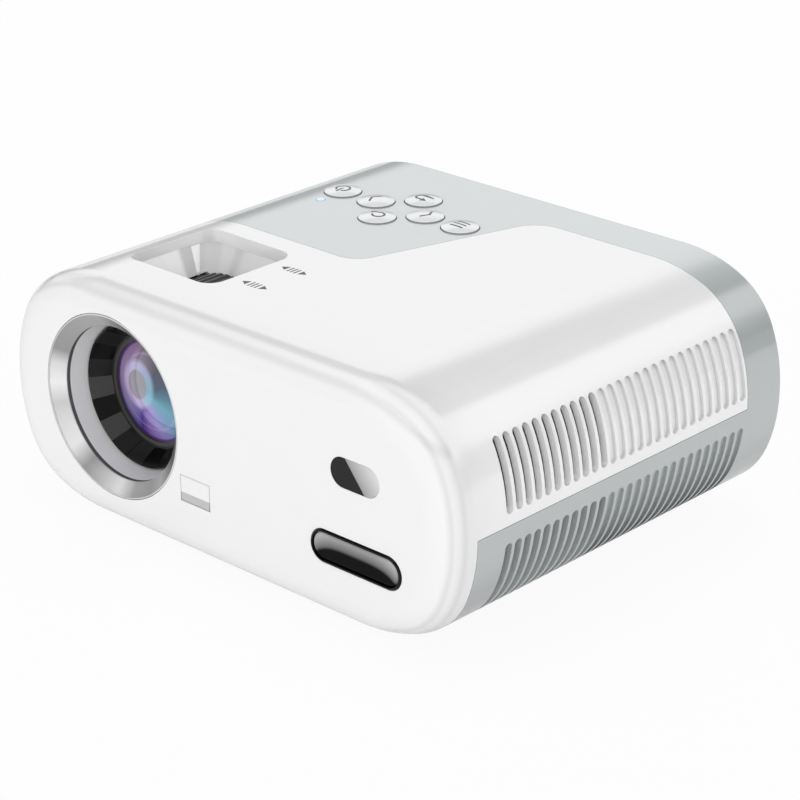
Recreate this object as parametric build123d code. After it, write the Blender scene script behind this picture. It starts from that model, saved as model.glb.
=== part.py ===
# A compact home projector with a stadium-shaped case, a recessed lens at the front left,
# a finger well with two adjusting rings on top, and a raised keypad at the rear left.
# Millimetres, +Z up. The front faces -Y. The origin is under the centre of the case, on
# the surface that the feet stand on.
import math
import os

from build123d import *

# Case, without its feet
case_width = 200.0
case_height = 83.0
case_depth = 159.0
wall = 2.5
side_flat = 2.0             # straight stretch at mid height of each side
tight_radius = 29.5         # middle arc of each corner, between two more open arcs
nose_radius = 11.0          # rounding of the front rim
rear_radius = 1.0           # rounding of the rear rim
foot_height = 2.5

# Seam between the white cover and the grey housing
seam_gap = 0.2
split_height = 40.7         # of the side seam, above the case's bottom
nose_length = 11.2          # of the cover ahead of the grey housing
band_length = 18.0          # of the grey band at the rear
panel_length = 86.5         # of the keypad panel, from the case's rear
panel_width = 91.4          # from the case's left side to the panel's front right corner
panel_slant = 16.0          # degrees that its right edge leans outwards
panel_corner_radius = 9.0
panel_bay_radius = 12.0
lip_reach = 2.4             # of the housing's lip under the cover
lip_root = 3.0              # of the same lip on the housing's own wall
lip_thickness = 1.2
lip_clearance = 0.15

# Side vents, heights above the case's bottom
slot_count = 27
open_slot_count = 11
slot_pitch = 4.34
slot_width = 3.0
first_slot_depth = 25.3     # behind the front face
groove_depth = 1.1
upper_slot_low = 44.6
upper_slot_high = 67.6
lower_slot_low = 4.6
lower_slot_high = 34.9

# Lens opening; depths are counted from the case's front face
lens_from_left = 52.7
lens_height = 43.3          # above the case's bottom
bezel_radius = 31.1
bezel_clearance = 0.2
bezel_mouth_radius = 30.6
bezel_throat_radius = 26.3
bezel_depth = 4.0
gasket_thickness = 1.3
lens_boss_wall = 2.4
lens_boss_depth = 6.5
shroud_flange_thickness = 1.6
shroud_end_depth = 13.5
shroud_throat_radius = 24.75
shroud_wall = 2.2

# Lens barrel and what it carries
hood_depth = 11.3
hood_radius = 24.35
hood_rim = 0.45
hood_end_depth = 20.0
hood_facets = 20
hood_throat_radius = 19.8
barrel_depth = 17.6         # of its front end
barrel_end_depth = 66.5
barrel_radius = 20.9
barrel_bore = 17.4
pocket_radius = 19.0        # for the glasses
front_pocket_length = 9.5
rear_pocket_length = 7.5
glass_clearance = 0.1
glass_land = 1.6            # flat ring around each glass
retainer_bore = 17.6
retainer_thickness = 1.0
front_glass_rim = 2.0
front_glass_bulge = 3.9
spacer_length = 2.5
middle_glass_rim = 3.5
middle_glass_hollow = 1.0
rear_glass_rim = 2.5
rear_glass_bulge = 3.2
thread_clearance = 0.05
focus_travel = 4.0          # each way
focus_turn = 60.0           # degrees each way
focus_pin_radius = 1.5
focus_pin_tip = 26.0
pin_clearance = 0.1
groove_floor_clearance = 0.5
groove_spare_turn = 6.0     # degrees past each end of the focus travel

# Sleeve that carries the lens and both rings
mount_fit = 0.1
mount_wall = 2.2
mount_front_depth = 24.6
shoulder_radius = 25.5
shoulder_thickness = 2.7
flange_radius = 31.0
flange_thickness = 3.0
flange_screw_radius = 28.2  # of the circle that the screws stand on
clip_thickness = 1.2
clip_radius = 25.2
clip_seat = 0.6             # depth of its groove in the sleeve
clip_gap = 4.0              # width of its opening
clip_play = 0.3

# Adjusting rings
ring_radius = 30.0
ring_fit = 0.1
ring_teeth = 60
tooth_depth = 0.9
ring_bevel = 1.0
focus_ring_depth = 27.0     # of its front face
focus_ring_length = 12.5
keystone_ring_length = 13.5
collar_radius = 26.0
collar_length = 6.5
keystone_turn = 30.0        # degrees each way
keystone_tilt = 2.0         # degrees of the mirror each way
rod_radius = 1.5
rod_drop = 28.2             # of the rod's axis below the lens axis
rod_fit = 0.05
peg_reach = 24.6            # of the rod's peg, from the lens axis
collar_groove_floor = 24.3
yoke_clearance = 0.15
yoke_cheek = 1.6
yoke_half_width = 3.5
yoke_depth_below = 2.6

# Finger well
well_left = 20.5            # from the lens axis
well_right = 20.7
well_front_depth = 25.5
well_rear_depth = 63.5
well_corner_radius = 6.0
well_collar_depth = 4.5
well_collar_wall = 1.8
well_floor_depth = 13.5     # below the case's top
well_inset_left = 8.0       # of the funnel's foot
well_inset_right = 8.0
well_inset_front = 0.7
well_inset_rear = 7.8
well_foot_radius = 3.0
ring_clearance = 0.6

# Keypad
button_radius = 6.5
button_gap = 0.25
button_proud = 0.5
button_dome = 0.9
button_rim_radius = 0.35
button_collar_wall = 1.2
button_collar_depth = 1.1
button_flange = 1.1
button_flange_thickness = 1.0
stem_radius = 1.6
stem_entry = 0.3
keypad_from_left = 68.1
keypad_from_rear = 40.0
arrow_offset = 11.5
outer_button_offset = 27.3
status_light_radius = 1.5
status_light_offset = 11.0  # ahead of the power button
key_board_drop = 9.9        # of the board's top below the case's top
switch_size = 6.0
switch_height = 4.5
board_thickness = 1.6
board_post_radius = 2.8

# Front inlays
window_from_right = 38.7
window_height = 52.8
window_length = 19.8
window_width = 9.8
window_thickness = 3.0
plate_from_right = 38.7
plate_height = 26.0
plate_length = 37.6
plate_width = 11.2
plate_pocket = 1.3
plate_rim = 0.9
plate_rim_proud = 0.5
plate_proud = 0.3
inlay_clearance = 0.1
receiver_post_length = 5.0

# Optical engine
engine_left = 32.7          # from the lens axis
engine_right = 99.3         # from the lens axis, to the inside of the lamp's wall
engine_front_depth = 67.5
engine_length = 72.0
engine_floor_height = 10.0  # above the case's bottom
engine_roof_drop = 14.0     # below the case's top
engine_wall = 2.0
engine_end_wall = 3.6
engine_chamfer = 14.0       # of its rear left wall behind the mirror's axis
mirror_length = 64.0
mirror_height = 42.0
mirror_thickness = 2.0
cradle_thickness = 2.5
cradle_rim = 1.5
trunnion_radius = 1.6
trunnion_length = 4.5
trunnion_fit = 0.05
bearing_thickness = 3.5
bearing_width = 8.0
bearing_gap = 0.5
lever_clearance = 0.4
sill_height = 5.5
rib_reach = 4.0
rib_thickness = 1.5
plate_clearance = 0.1
field_fresnel_offset = 44.3     # of the light's plates from the lens axis
lcd_offset = 52.3
rear_fresnel_offset = 63.3
heat_glass_offset = 70.3
fresnel_thickness = 2.0
lcd_thickness = 2.6
heat_glass_thickness = 1.1
lcd_window_width = 59.8
lcd_window_height = 33.6
lcd_glass_inset = 0.4
condenser_offset = 85.3
condenser_radius = 22.0
condenser_rim = 2.0
condenser_bulge = 6.0
led_board_size = 40.0
led_size = 10.0
led_dome_radius = 4.5

# Cooling
sink_length = 48.0
sink_height = 52.0
sink_base = 4.4
sink_fins = 12
fin_thickness = 1.2
fin_reach = 18.0
fan_size = 60.0
fan_thickness = 15.0
fan_from_right = 32.0       # of its inner face
fan_depth = 47.5            # of its axis
fan_bore_radius = 28.6
fan_blade_radius = 27.4
fan_hub_radius = 14.0
fan_hub_wall = 1.5
fan_blades = 9
fan_blade_thickness = 1.2
fan_blade_pitch = 38.0      # degrees to the fan's axis
fan_shaft_radius = 1.5
fan_shaft_fit = 0.05
fan_corner_hole = 2.15

# Boards and sockets at the rear
main_board_from_rear = 17.0
main_board_left_x = -26.0
main_board_right_x = 46.0
main_board_low = 15.5       # above the case's bottom
main_board_high = 63.5
socket_height = 27.5
socket_recess = 0.5
socket_gap = 0.3
jack_x = -16.0
jack_bore_radius = 1.8
jack_bore_length = 13.0
usb_x = 2.0
hdmi_x = 24.0
inlet_x = 62.0
inlet_width = 22.0
inlet_height = 13.0
inlet_length = 19.0
inlet_pin_spacing = 8.6
inlet_pin_radius = 1.2
power_board_height = 7.0
power_board_left = 35.3     # from the lens axis
power_board_from_right = 48.0
power_board_front_depth = 13.5
power_board_gap = 6.0       # to the optical housing
speaker_from_left = 38.0
speaker_radius = 20.0
speaker_depth = 13.0
grille_slots = 7
grille_pitch = 4.6
grille_width = 2.4

# Underside
foot_from_side = 54.0
foot_from_end = 21.5
foot_radius = 6.5
foot_pocket = 1.0
foot_clearance = 0.1
tripod_hole_radius = 3.175
tripod_insert_radius = 4.6
tripod_length = 8.0
tripod_boss_wall = 2.4
case_post_radius = 4.4
case_screw_radius = 1.5
case_screw_head_radius = 2.7
case_screw_head_height = 2.0
case_screw_seat = 8.0       # below the seam
case_screw_length = 16.0
screw_radius = 1.2
screw_length = 6.0
screw_head_radius = 2.2
screw_head_height = 1.5
screw_fit = 0.05

far = 300.0                 # longer than the case, for cutting blocks

half_width = case_width / 2
front_y = -case_depth / 2
rear_y = case_depth / 2
base_z = foot_height
top_z = base_z + case_height
lens_z = base_z + lens_height
split_z = base_z + split_height
inner_front_y = front_y + wall
inner_rear_y = rear_y - wall
inner_floor_z = base_z + wall
inner_top_z = top_z - wall


def depth(behind):
    """Y of a depth behind the case's front face."""
    return front_y + behind


lens_x = lens_from_left - half_width
panel_edge_x = panel_width - half_width
well_left_x = lens_x - well_left
well_right_x = lens_x + well_right
well_front_y = depth(well_front_depth)
well_rear_y = depth(well_rear_depth)
keypad_x = keypad_from_left - half_width
keypad_y = rear_y - keypad_from_rear
status_light_x = keypad_x - outer_button_offset
status_light_y = keypad_y - status_light_offset
window_x = half_width - window_from_right
plate_x = half_width - plate_from_right
engine_left_x = lens_x - engine_left
engine_right_x = lens_x + engine_right
engine_front_y = depth(engine_front_depth)
engine_rear_y = engine_front_y + engine_length
engine_floor_z = base_z + engine_floor_height
engine_roof_z = top_z - engine_roof_drop
mirror_y = (engine_front_y + engine_rear_y) / 2
field_fresnel_x = lens_x + field_fresnel_offset
lcd_x = lens_x + lcd_offset
rear_fresnel_x = lens_x + rear_fresnel_offset
heat_glass_x = lens_x + heat_glass_offset
condenser_x = lens_x + condenser_offset
fan_left_x = half_width - fan_from_right
fan_y = depth(fan_depth)
fan_z = base_z + case_height / 2
main_board_y = rear_y - main_board_from_rear
main_board_low_z = base_z + main_board_low
main_board_high_z = base_z + main_board_high
socket_z = base_z + socket_height
power_board_z = base_z + power_board_height
power_board_left_x = lens_x + power_board_left
power_board_right_x = half_width - power_board_from_right
power_board_front_y = depth(power_board_front_depth)
power_board_rear_y = engine_front_y - power_board_gap
speaker_x = speaker_from_left - half_width
foot_x = half_width - foot_from_side
foot_y = rear_y - foot_from_end
case_screw_spots = [
    (-half_width + 23, depth(19.5)),
    (half_width - 40, depth(17.5)),
    (half_width - 23, rear_y - 26.5),
    (engine_left_x - 5, engine_front_y - 4),
]

lens_axis = Plane(origin=(lens_x, 0, lens_z), x_dir=(1, 0, 0), z_dir=(0, 1, 0))
lamp_axis = Plane(origin=(0, mirror_y, lens_z), x_dir=(0, 1, 0), z_dir=(1, 0, 0))
fan_axis = Plane(origin=(0, fan_y, fan_z), x_dir=(0, 1, 0), z_dir=(1, 0, 0))


def block(x0, x1, y0, y1, z0, z1):
    return Pos((x0 + x1) / 2, (y0 + y1) / 2, (z0 + z1) / 2) * Box(x1 - x0, y1 - y0, z1 - z0)


def rod_x(x0, x1, y, z, radius):
    return Pos((x0 + x1) / 2, y, z) * Rot(0, 90, 0) * Cylinder(radius, x1 - x0)


def rod_y(x, y0, y1, z, radius):
    return Pos(x, (y0 + y1) / 2, z) * Rot(90, 0, 0) * Cylinder(radius, y1 - y0)


def rod_z(x, y, z0, z1, radius):
    return Pos(x, y, (z0 + z1) / 2) * Cylinder(radius, z1 - z0)


def turned(axis, points):
    """A solid of revolution about a plane's own Z axis, from (radius, along) points."""
    outline = Polyline([(r, 0, along) for r, along in points], close=True)
    return axis * revolve(make_face(outline), Axis.Z)


def dome_arc(radius, along, bulge):
    """An arc from the axis to (radius, along); its tip lies bulge beyond along."""
    if bulge == 0:
        return Line((0, 0, along), (radius, 0, along))
    curvature = (radius ** 2 + bulge ** 2) / (2 * abs(bulge))
    height = abs(bulge) - curvature + math.sqrt(curvature ** 2 - radius ** 2 / 4)
    return ThreePointArc((0, 0, along + bulge),
                         (radius / 2, 0, along + math.copysign(height, bulge)),
                         (radius, 0, along))


def glass(axis, radius, start, end, start_bulge, end_bulge):
    """A lens with a flat land around it; a bulge below zero is a hollow."""
    clear = radius - glass_land
    front = dome_arc(clear, start, -start_bulge)
    back = dome_arc(clear, end, end_bulge)
    rim = Polyline((clear, 0, start), (radius, 0, start), (radius, 0, end), (clear, 0, end))
    middle = Line(back @ 0, front @ 0)
    outline = Wire(front.edges() + rim.edges() + back.edges() + middle.edges())
    return axis * revolve(make_face(outline), Axis.Z)


def capsule_y(x, z, length, width, y0, y1):
    """A prism along Y with the outline of a capsule that lies along X."""
    outline = Pos(x, y0, z) * (Plane.XZ * SlotOverall(length, width))
    return extrude(outline, amount=y1 - y0, dir=(0, 1, 0))


def rounded_block_z(x0, x1, y0, y1, z0, z1, radius):
    outline = RectangleRounded(x1 - x0, y1 - y0, radius)
    return extrude(Pos((x0 + x1) / 2, (y0 + y1) / 2, z0) * outline, amount=z1 - z0)


def small_screw(x, y, z, direction):
    """A screw whose head seats at (x, y, z) and stands out along direction."""
    head = Pos(0, 0, screw_head_height / 2) * Cylinder(screw_head_radius, screw_head_height)
    shank = Pos(0, 0, -screw_length / 2) * Cylinder(screw_radius, screw_length)
    slot = Pos(0, 0, screw_head_height) * Box(screw_head_radius * 1.4, 0.6, screw_head_height)
    return Plane(origin=(x, y, z), z_dir=direction) * (head + shank - slot - Rot(0, 0, 90) * slot)


def screw_bore(x, y, z, direction):
    """The bore that a small screw's shank needs."""
    shank = Pos(0, 0, -screw_length / 2) * Cylinder(screw_radius + screw_fit, screw_length + 0.4)
    return Plane(origin=(x, y, z), z_dir=direction) * shank


def save(name, shape):
    export_step(shape, f"parts/{name}.step")
    return shape


def save_group(name, shapes):
    return save(name, Compound(children=[s for shape in shapes for s in shape.solids()]))


# Case outline: each corner is an open arc, a tight one and an open one, all tangent
corner_reach = (case_height - side_flat) / 2
turn = math.radians(22.5)
open_radius = (corner_reach - tight_radius * (math.cos(turn) - math.sin(turn))) / (
    math.sin(turn) + 1 - math.cos(turn)
)


def corner_points(inset):
    """(x, z) along the upper right corner, with a midpoint in each of its three arcs."""
    wide, tight = open_radius - inset, tight_radius - inset
    angle, point = 0.0, (half_width - corner_reach, top_z - inset)
    points = [point]
    for radius, end in ((wide, turn), (tight, math.pi / 2 - turn), (wide, math.pi / 2)):
        for to in ((angle + end) / 2, end):
            points.append((
                point[0] + radius * (math.sin(to) - math.sin(angle)),
                point[1] - radius * (math.cos(angle) - math.cos(to)),
            ))
        angle, point = end, points[-1]
    return points


def case_outline(inset, y):
    """The face of the case's cross section at y, drawn in by inset."""
    right_top = corner_points(inset)
    middle = 2 * (base_z + case_height / 2)
    right_low = [(x, middle - z) for x, z in reversed(right_top)]
    left_low = [(-x, z) for x, z in reversed(right_low)]
    left_top = [(-x, z) for x, z in reversed(right_top)]
    edges = []
    corners = [right_top, right_low, left_low, left_top]
    for corner, following in zip(corners, corners[1:] + corners[:1]):
        for start in (0, 2, 4):
            edges.append(ThreePointArc(*[(x, y, z) for x, z in corner[start:start + 3]]))
        (x0, z0), (x1, z1) = corner[-1], following[0]
        edges.append(Line((x0, y, z0), (x1, y, z1)))
    return make_face(Wire(edges))


def case_body(inset):
    """The case's outer form, drawn in by inset on every side."""
    length = case_depth - 2 * inset
    body = extrude(case_outline(inset, front_y + inset), amount=length, dir=(0, 1, 0))
    body = fillet(body.faces().sort_by(Axis.Y)[0].edges(), nose_radius - inset)
    if inset < rear_radius:
        body = fillet(body.faces().sort_by(Axis.Y)[-1].edges(), rear_radius - inset)
    return body


def grey_zone(grow):
    """The space of the grey housing: its lower half, its rear band and its keypad panel."""
    lean = math.radians(panel_slant)
    panel_y = rear_y - panel_length - grow
    band_y = rear_y - band_length - grow
    edge_x = panel_edge_x + grow / math.cos(lean)
    corner = (edge_x - grow * math.tan(lean), panel_y)
    bay = (edge_x + (band_y - panel_y - grow) * math.tan(lean), band_y)
    plan = make_face(Polyline(
        [(-far, panel_y), corner, bay, (far, band_y), (far, far), (-far, far)], close=True
    ))
    plan = fillet(plan.vertices().sort_by_distance(Vector(*corner))[0], panel_corner_radius + grow)
    plan = fillet(plan.vertices().sort_by_distance(Vector(*bay))[0], panel_bay_radius - grow)
    upper = extrude(Pos(0, 0, split_z - lip_root - wall) * plan, amount=far, dir=(0, 0, 1))
    lower = block(-far, far, front_y + nose_length - grow, far, -far, split_z + grow)
    return upper + lower


# Case shells
window_z = base_z + window_height
plate_z = base_z + plate_height
key_board_z = top_z - key_board_drop
button_collar_z = inner_top_z - button_collar_depth
lens_hole_radius = bezel_radius + bezel_clearance
lens_boss_radius = lens_hole_radius + lens_boss_wall
buttons = {
    "power_button": (keypad_x - outer_button_offset, keypad_y),
    "left_button": (keypad_x - arrow_offset, keypad_y),
    "right_button": (keypad_x + arrow_offset, keypad_y),
    "rear_button": (keypad_x, keypad_y + arrow_offset),
    "front_button": (keypad_x, keypad_y - arrow_offset),
    "menu_button": (keypad_x + outer_button_offset, keypad_y),
}
key_post_spots = [(keypad_x + dx, keypad_y + dy) for dx in (-18.3, 19.7) for dy in (-12.5, 12.5)]
engine_post_spots = [
    (lens_x - 12.7, engine_front_y + 6), (engine_right_x - 7, engine_front_y + 7),
    (engine_right_x - 7, engine_rear_y - 7), (lens_x + 33.3, engine_rear_y - 6),
]
power_post_spots = [
    (x, y)
    for x in (power_board_left_x + 4, power_board_right_x - 4)
    for y in (power_board_front_y + 4, power_board_rear_y - 4)
]
main_post_spots = [
    (x, z)
    for x in (main_board_left_x + 4, main_board_right_x - 4)
    for z in (main_board_low_z + 4, main_board_high_z - 4)
]
rod_z_axis = lens_z - rod_drop


def side_slots(low, high, first, last):
    """Capsule prisms right across the case for the vents from first up to last."""
    prisms = []
    for index in range(first, last):
        y = depth(first_slot_depth + index * slot_pitch)
        outline = Plane.YZ * Pos(y, base_z + (low + high) / 2) * SlotOverall(
            high - low, slot_width, rotation=90
        )
        prisms.append(extrude(outline, amount=half_width + 1, both=True))
    return prisms


def vented_shell():
    """The case's wall with its side vents, before it is split into cover and housing."""
    shell = case_body(0) - case_body(wall)
    rows = ((upper_slot_low, upper_slot_high), (lower_slot_low, lower_slot_high))
    through = [p for low, high in rows for p in side_slots(low, high, 0, open_slot_count)]
    shallow = [p for low, high in rows for p in side_slots(low, high, open_slot_count, slot_count)]
    core = case_body(groove_depth)
    return shell - through - [p - core for p in shallow]


def seam_lip():
    """The lip that the housing tucks under the cover's edge."""
    deep = wall + lip_clearance + lip_thickness
    region = case_body(wall) - case_body(deep)
    root = (region & grey_zone(0)) - grey_zone(-lip_root)
    tucked = (case_body(wall + lip_clearance) - case_body(deep)) & grey_zone(lip_reach)
    return root + (tucked - grey_zone(-lip_root))


def well_opening(low, high, grow=0.0):
    return rounded_block_z(well_left_x - grow, well_right_x + grow, well_front_y - grow,
                           well_rear_y + grow, low, high, well_corner_radius + grow)


def cover_shell(shell):
    cover = shell - grey_zone(seam_gap)
    boss = turned(lens_axis, [
        (lens_hole_radius, depth(1)), (lens_boss_radius, depth(1)),
        (lens_boss_radius, depth(lens_boss_depth)), (lens_hole_radius, depth(lens_boss_depth)),
    ])
    collar = well_opening(top_z - well_collar_depth, top_z, well_collar_wall)
    posts = [
        rod_z(x, y, split_z + seam_gap, top_z, case_post_radius) for x, y in case_screw_spots
    ]
    receiver_posts = [
        rod_y(window_x + dx, depth(1), inner_front_y + receiver_post_length, window_z, 1.6)
        for dx in (-13, 13)
    ]
    cover += (Part() + [boss, collar] + posts + receiver_posts) & case_body(1)
    cover -= rod_y(lens_x, front_y - 1, depth(lens_boss_depth + 1), lens_z, lens_hole_radius)
    cover -= well_opening(top_z - well_collar_depth - 1, top_z + 1)
    cover -= capsule_y(window_x, window_z, window_length + 2 * inlay_clearance,
                       window_width + 2 * inlay_clearance, front_y - 1, inner_front_y + 1)
    cover -= capsule_y(plate_x, plate_z, plate_length + 2 * inlay_clearance,
                       plate_width + 2 * inlay_clearance, front_y - 1, depth(plate_pocket))
    reach = case_screw_length - case_screw_seat + 0.5
    for x, y in case_screw_spots:
        cover -= rod_z(x, y, split_z, split_z + reach, case_screw_radius + screw_fit)
    return cover


def housing_shell(shell):
    housing = (shell & grey_zone(0)) + seam_lip()
    added = [rod_z(x, y, base_z, split_z, case_post_radius) for x, y in case_screw_spots]
    for x, y in buttons.values():
        added.append(rod_z(x, y, button_collar_z, top_z,
                           button_radius + button_gap + button_collar_wall))
    added += [rod_z(x, y, key_board_z, top_z, board_post_radius) for x, y in key_post_spots]
    added += [rod_z(x, y, base_z, engine_floor_z, 4.0) for x, y in engine_post_spots]
    added += [rod_z(x, y, base_z, power_board_z, board_post_radius) for x, y in power_post_spots]
    added += [
        rod_y(x, main_board_y + board_thickness, rear_y, z, board_post_radius)
        for x, z in main_post_spots
    ]
    fan_low = fan_z - fan_size / 2
    for y in (fan_y - 24, fan_y + 24):
        added.append(block(fan_left_x + 1, fan_left_x + fan_thickness - 1, y - 2, y + 2,
                           base_z, fan_low))
    added.append(rod_z(0, 0, base_z, base_z + tripod_length + 1,
                       tripod_insert_radius + tripod_boss_wall))
    housing += (Part() + added) & case_body(1)
    for x, y in buttons.values():
        housing -= rod_z(x, y, button_collar_z - 1, top_z + 1, button_radius + button_gap)
        housing -= rod_z(x, y, button_collar_z - 2, button_collar_z,
                         button_radius + button_flange + button_gap)
    housing -= rod_z(status_light_x, status_light_y, inner_top_z - 1, top_z + 1,
                     status_light_radius + button_gap)
    for x, y in case_screw_spots:
        housing -= rod_z(x, y, -1, split_z - case_screw_seat, case_screw_head_radius + 0.3)
        housing -= rod_z(x, y, -1, split_z + 1, case_screw_radius + screw_fit)
    for x, y in foot_spots:
        housing -= rod_z(x, y, -1, base_z + foot_pocket, foot_radius + foot_clearance)
    housing -= rod_z(0, 0, -1, base_z + tripod_length, tripod_insert_radius)
    for x, y in key_post_spots:
        housing -= screw_bore(x, y, key_board_z - board_thickness, (0, 0, -1))
    for x, y in engine_post_spots:
        housing -= screw_bore(x, y, engine_floor_z + engine_wall, (0, 0, 1))
    for x, y in power_post_spots:
        housing -= screw_bore(x, y, power_board_z + board_thickness, (0, 0, 1))
    for x, z in main_post_spots:
        housing -= screw_bore(x, main_board_y, z, (0, -1, 0))
    for opening in rear_openings():
        housing -= opening
    return housing


foot_spots = [(x, y) for x in (-foot_x, foot_x) for y in (-foot_y, foot_y)]


def rear_openings():
    """Cutters for the speaker's grille and for the sockets, through the rear wall."""
    y0, y1 = inner_rear_y - 1, rear_y + 1
    cutters = []
    for index in range(grille_slots):
        offset = (index - (grille_slots - 1) / 2) * grille_pitch
        length = 2 * math.sqrt((speaker_radius - 3) ** 2 - offset ** 2)
        outline = Pos(speaker_x + offset, y0, lens_z) * (
            Plane.XZ * SlotOverall(length, grille_width, rotation=90)
        )
        cutters.append(extrude(outline, amount=y1 - y0, dir=(0, 1, 0)))
    cutters.append(rod_y(jack_x, y0, y1, socket_z, jack_radius + socket_gap))
    for x, width, tall in ((usb_x, usb_width, usb_height), (hdmi_x, hdmi_width, hdmi_height),
                           (inlet_x, inlet_width, inlet_height)):
        cutters.append(block(x - width / 2 - socket_gap, x + width / 2 + socket_gap, y0, y1,
                             socket_z - tall / 2 - socket_gap, socket_z + tall / 2 + socket_gap))
    return cutters


jack_radius = 3.0
usb_width, usb_height = 14.4, 7.0
hdmi_width, hdmi_height = 15.0, 5.6


def case_screws():
    seat = split_z - case_screw_seat
    screws = []
    for x, y in case_screw_spots:
        head = rod_z(x, y, seat - case_screw_head_height, seat, case_screw_head_radius)
        recess = rod_z(x, y, seat - case_screw_head_height, seat - 1, 1.2)
        shank = rod_z(x, y, seat, seat + case_screw_length, case_screw_radius)
        screws.append(head - recess + shank)
    return screws


def rubber_feet():
    feet = []
    for x, y in foot_spots:
        foot = rod_z(x, y, 0, base_z + foot_pocket, foot_radius)
        feet.append(chamfer(foot.faces().sort_by(Axis.Z)[0].edges(), 0.6))
    return feet


def tripod_insert():
    body = rod_z(0, 0, base_z, base_z + tripod_length, tripod_insert_radius)
    return body - rod_z(0, 0, 0, top_z, tripod_hole_radius)


# Front inlays
def lens_bezel():
    return turned(lens_axis, [
        (bezel_mouth_radius, depth(0)), (bezel_radius - 0.15, depth(0)),
        (bezel_radius, depth(0.15)), (bezel_radius, depth(bezel_depth)),
        (bezel_throat_radius, depth(bezel_depth)), (bezel_throat_radius, depth(bezel_depth - 0.3)),
        (bezel_mouth_radius, depth(0.3)),
    ])


gasket_end = bezel_depth + gasket_thickness


def bezel_gasket():
    return turned(lens_axis, [
        (bezel_throat_radius, depth(bezel_depth)), (bezel_radius, depth(bezel_depth)),
        (bezel_radius, depth(gasket_end)), (bezel_throat_radius, depth(gasket_end)),
    ])


def lens_shroud():
    flange_end = lens_boss_depth + shroud_flange_thickness
    return turned(lens_axis, [
        (bezel_throat_radius, depth(gasket_end)), (bezel_radius, depth(gasket_end)),
        (bezel_radius, depth(lens_boss_depth)), (lens_boss_radius, depth(lens_boss_depth)),
        (lens_boss_radius, depth(flange_end)),
        (bezel_throat_radius + shroud_wall, depth(flange_end)),
        (shroud_throat_radius + shroud_wall, depth(shroud_end_depth)),
        (shroud_throat_radius, depth(shroud_end_depth)),
    ])


def receiver_window():
    pane = capsule_y(window_x, window_z, window_length, window_width,
                     front_y, depth(window_thickness))
    flange = capsule_y(window_x, window_z, window_length + 2, window_width + 2,
                       inner_front_y, depth(window_thickness + 0.5))
    return pane + flange


def receiver():
    board_y = inner_front_y + receiver_post_length
    board = block(window_x - 15, window_x + 15, board_y, board_y + 1.2, window_z - 5, window_z + 5)
    module = block(window_x - 3, window_x + 3, board_y - 2.4, board_y, window_z - 3.5, window_z + 3.5)
    eye = rod_y(window_x, board_y - 3.4, board_y - 2.4, window_z, 1.8)
    return [board, module + eye]


def name_plate_rim():
    outer = capsule_y(plate_x, plate_z, plate_length, plate_width,
                      front_y - plate_rim_proud, depth(plate_pocket))
    outer = chamfer(outer.faces().sort_by(Axis.Y)[0].edges(), plate_rim_proud * 0.8)
    return outer - capsule_y(plate_x, plate_z, plate_length - 2 * plate_rim,
                             plate_width - 2 * plate_rim, front_y - 2, depth(plate_pocket + 1))


def name_plate():
    inset = 2 * (plate_rim + 0.05)
    dome = capsule_y(plate_x, plate_z, plate_length - inset, plate_width - inset,
                     front_y - plate_proud, depth(plate_pocket))
    return fillet(dome.faces().sort_by(Axis.Y)[0].edges(), 1.2)


# Finger well
def well_funnel():
    """The insert that slopes from the well's collar down to the two rings."""
    low, high = top_z - well_floor_depth, top_z - well_collar_depth

    def hollow(grow):
        upper = RectangleRounded(well_right_x - well_left_x + 2 * grow,
                                 well_rear_y - well_front_y + 2 * grow,
                                 well_corner_radius + grow)
        left, right = well_left_x + well_inset_left, well_right_x - well_inset_right
        front, rear = well_front_y + well_inset_front, well_rear_y - well_inset_rear
        lower = RectangleRounded(right - left + 2 * grow, rear - front + 2 * grow,
                                 well_foot_radius + grow)
        centre = Pos((well_left_x + well_right_x) / 2, (well_front_y + well_rear_y) / 2, high)
        foot = Pos((left + right) / 2, (front + rear) / 2, low)
        return loft([foot * lower, centre * upper])

    insert = hollow(well_collar_wall) - hollow(0)
    rings = rod_y(lens_x, depth(focus_ring_depth) - 0.8, keystone_rear_y + 0.7, lens_z,
                  ring_radius + ring_clearance)
    return insert - rings


# Sleeve, rings and lens
focus_ring_front_y = depth(focus_ring_depth)
focus_ring_rear_y = focus_ring_front_y + focus_ring_length
clip_slot = clip_thickness + 2 * clip_play
keystone_front_y = focus_ring_rear_y + clip_slot
keystone_rear_y = keystone_front_y + keystone_ring_length
collar_end_y = keystone_rear_y + collar_length
peg_y = (keystone_rear_y + collar_end_y) / 2
focus_pin_y = (focus_ring_front_y + focus_ring_rear_y) / 2
mount_bore = barrel_radius + mount_fit
mount_radius = mount_bore + mount_wall
mount_front_y = depth(mount_front_depth)
clip_ys = (focus_ring_front_y - clip_play - clip_thickness / 2,
           focus_ring_rear_y + clip_play + clip_thickness / 2)


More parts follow.
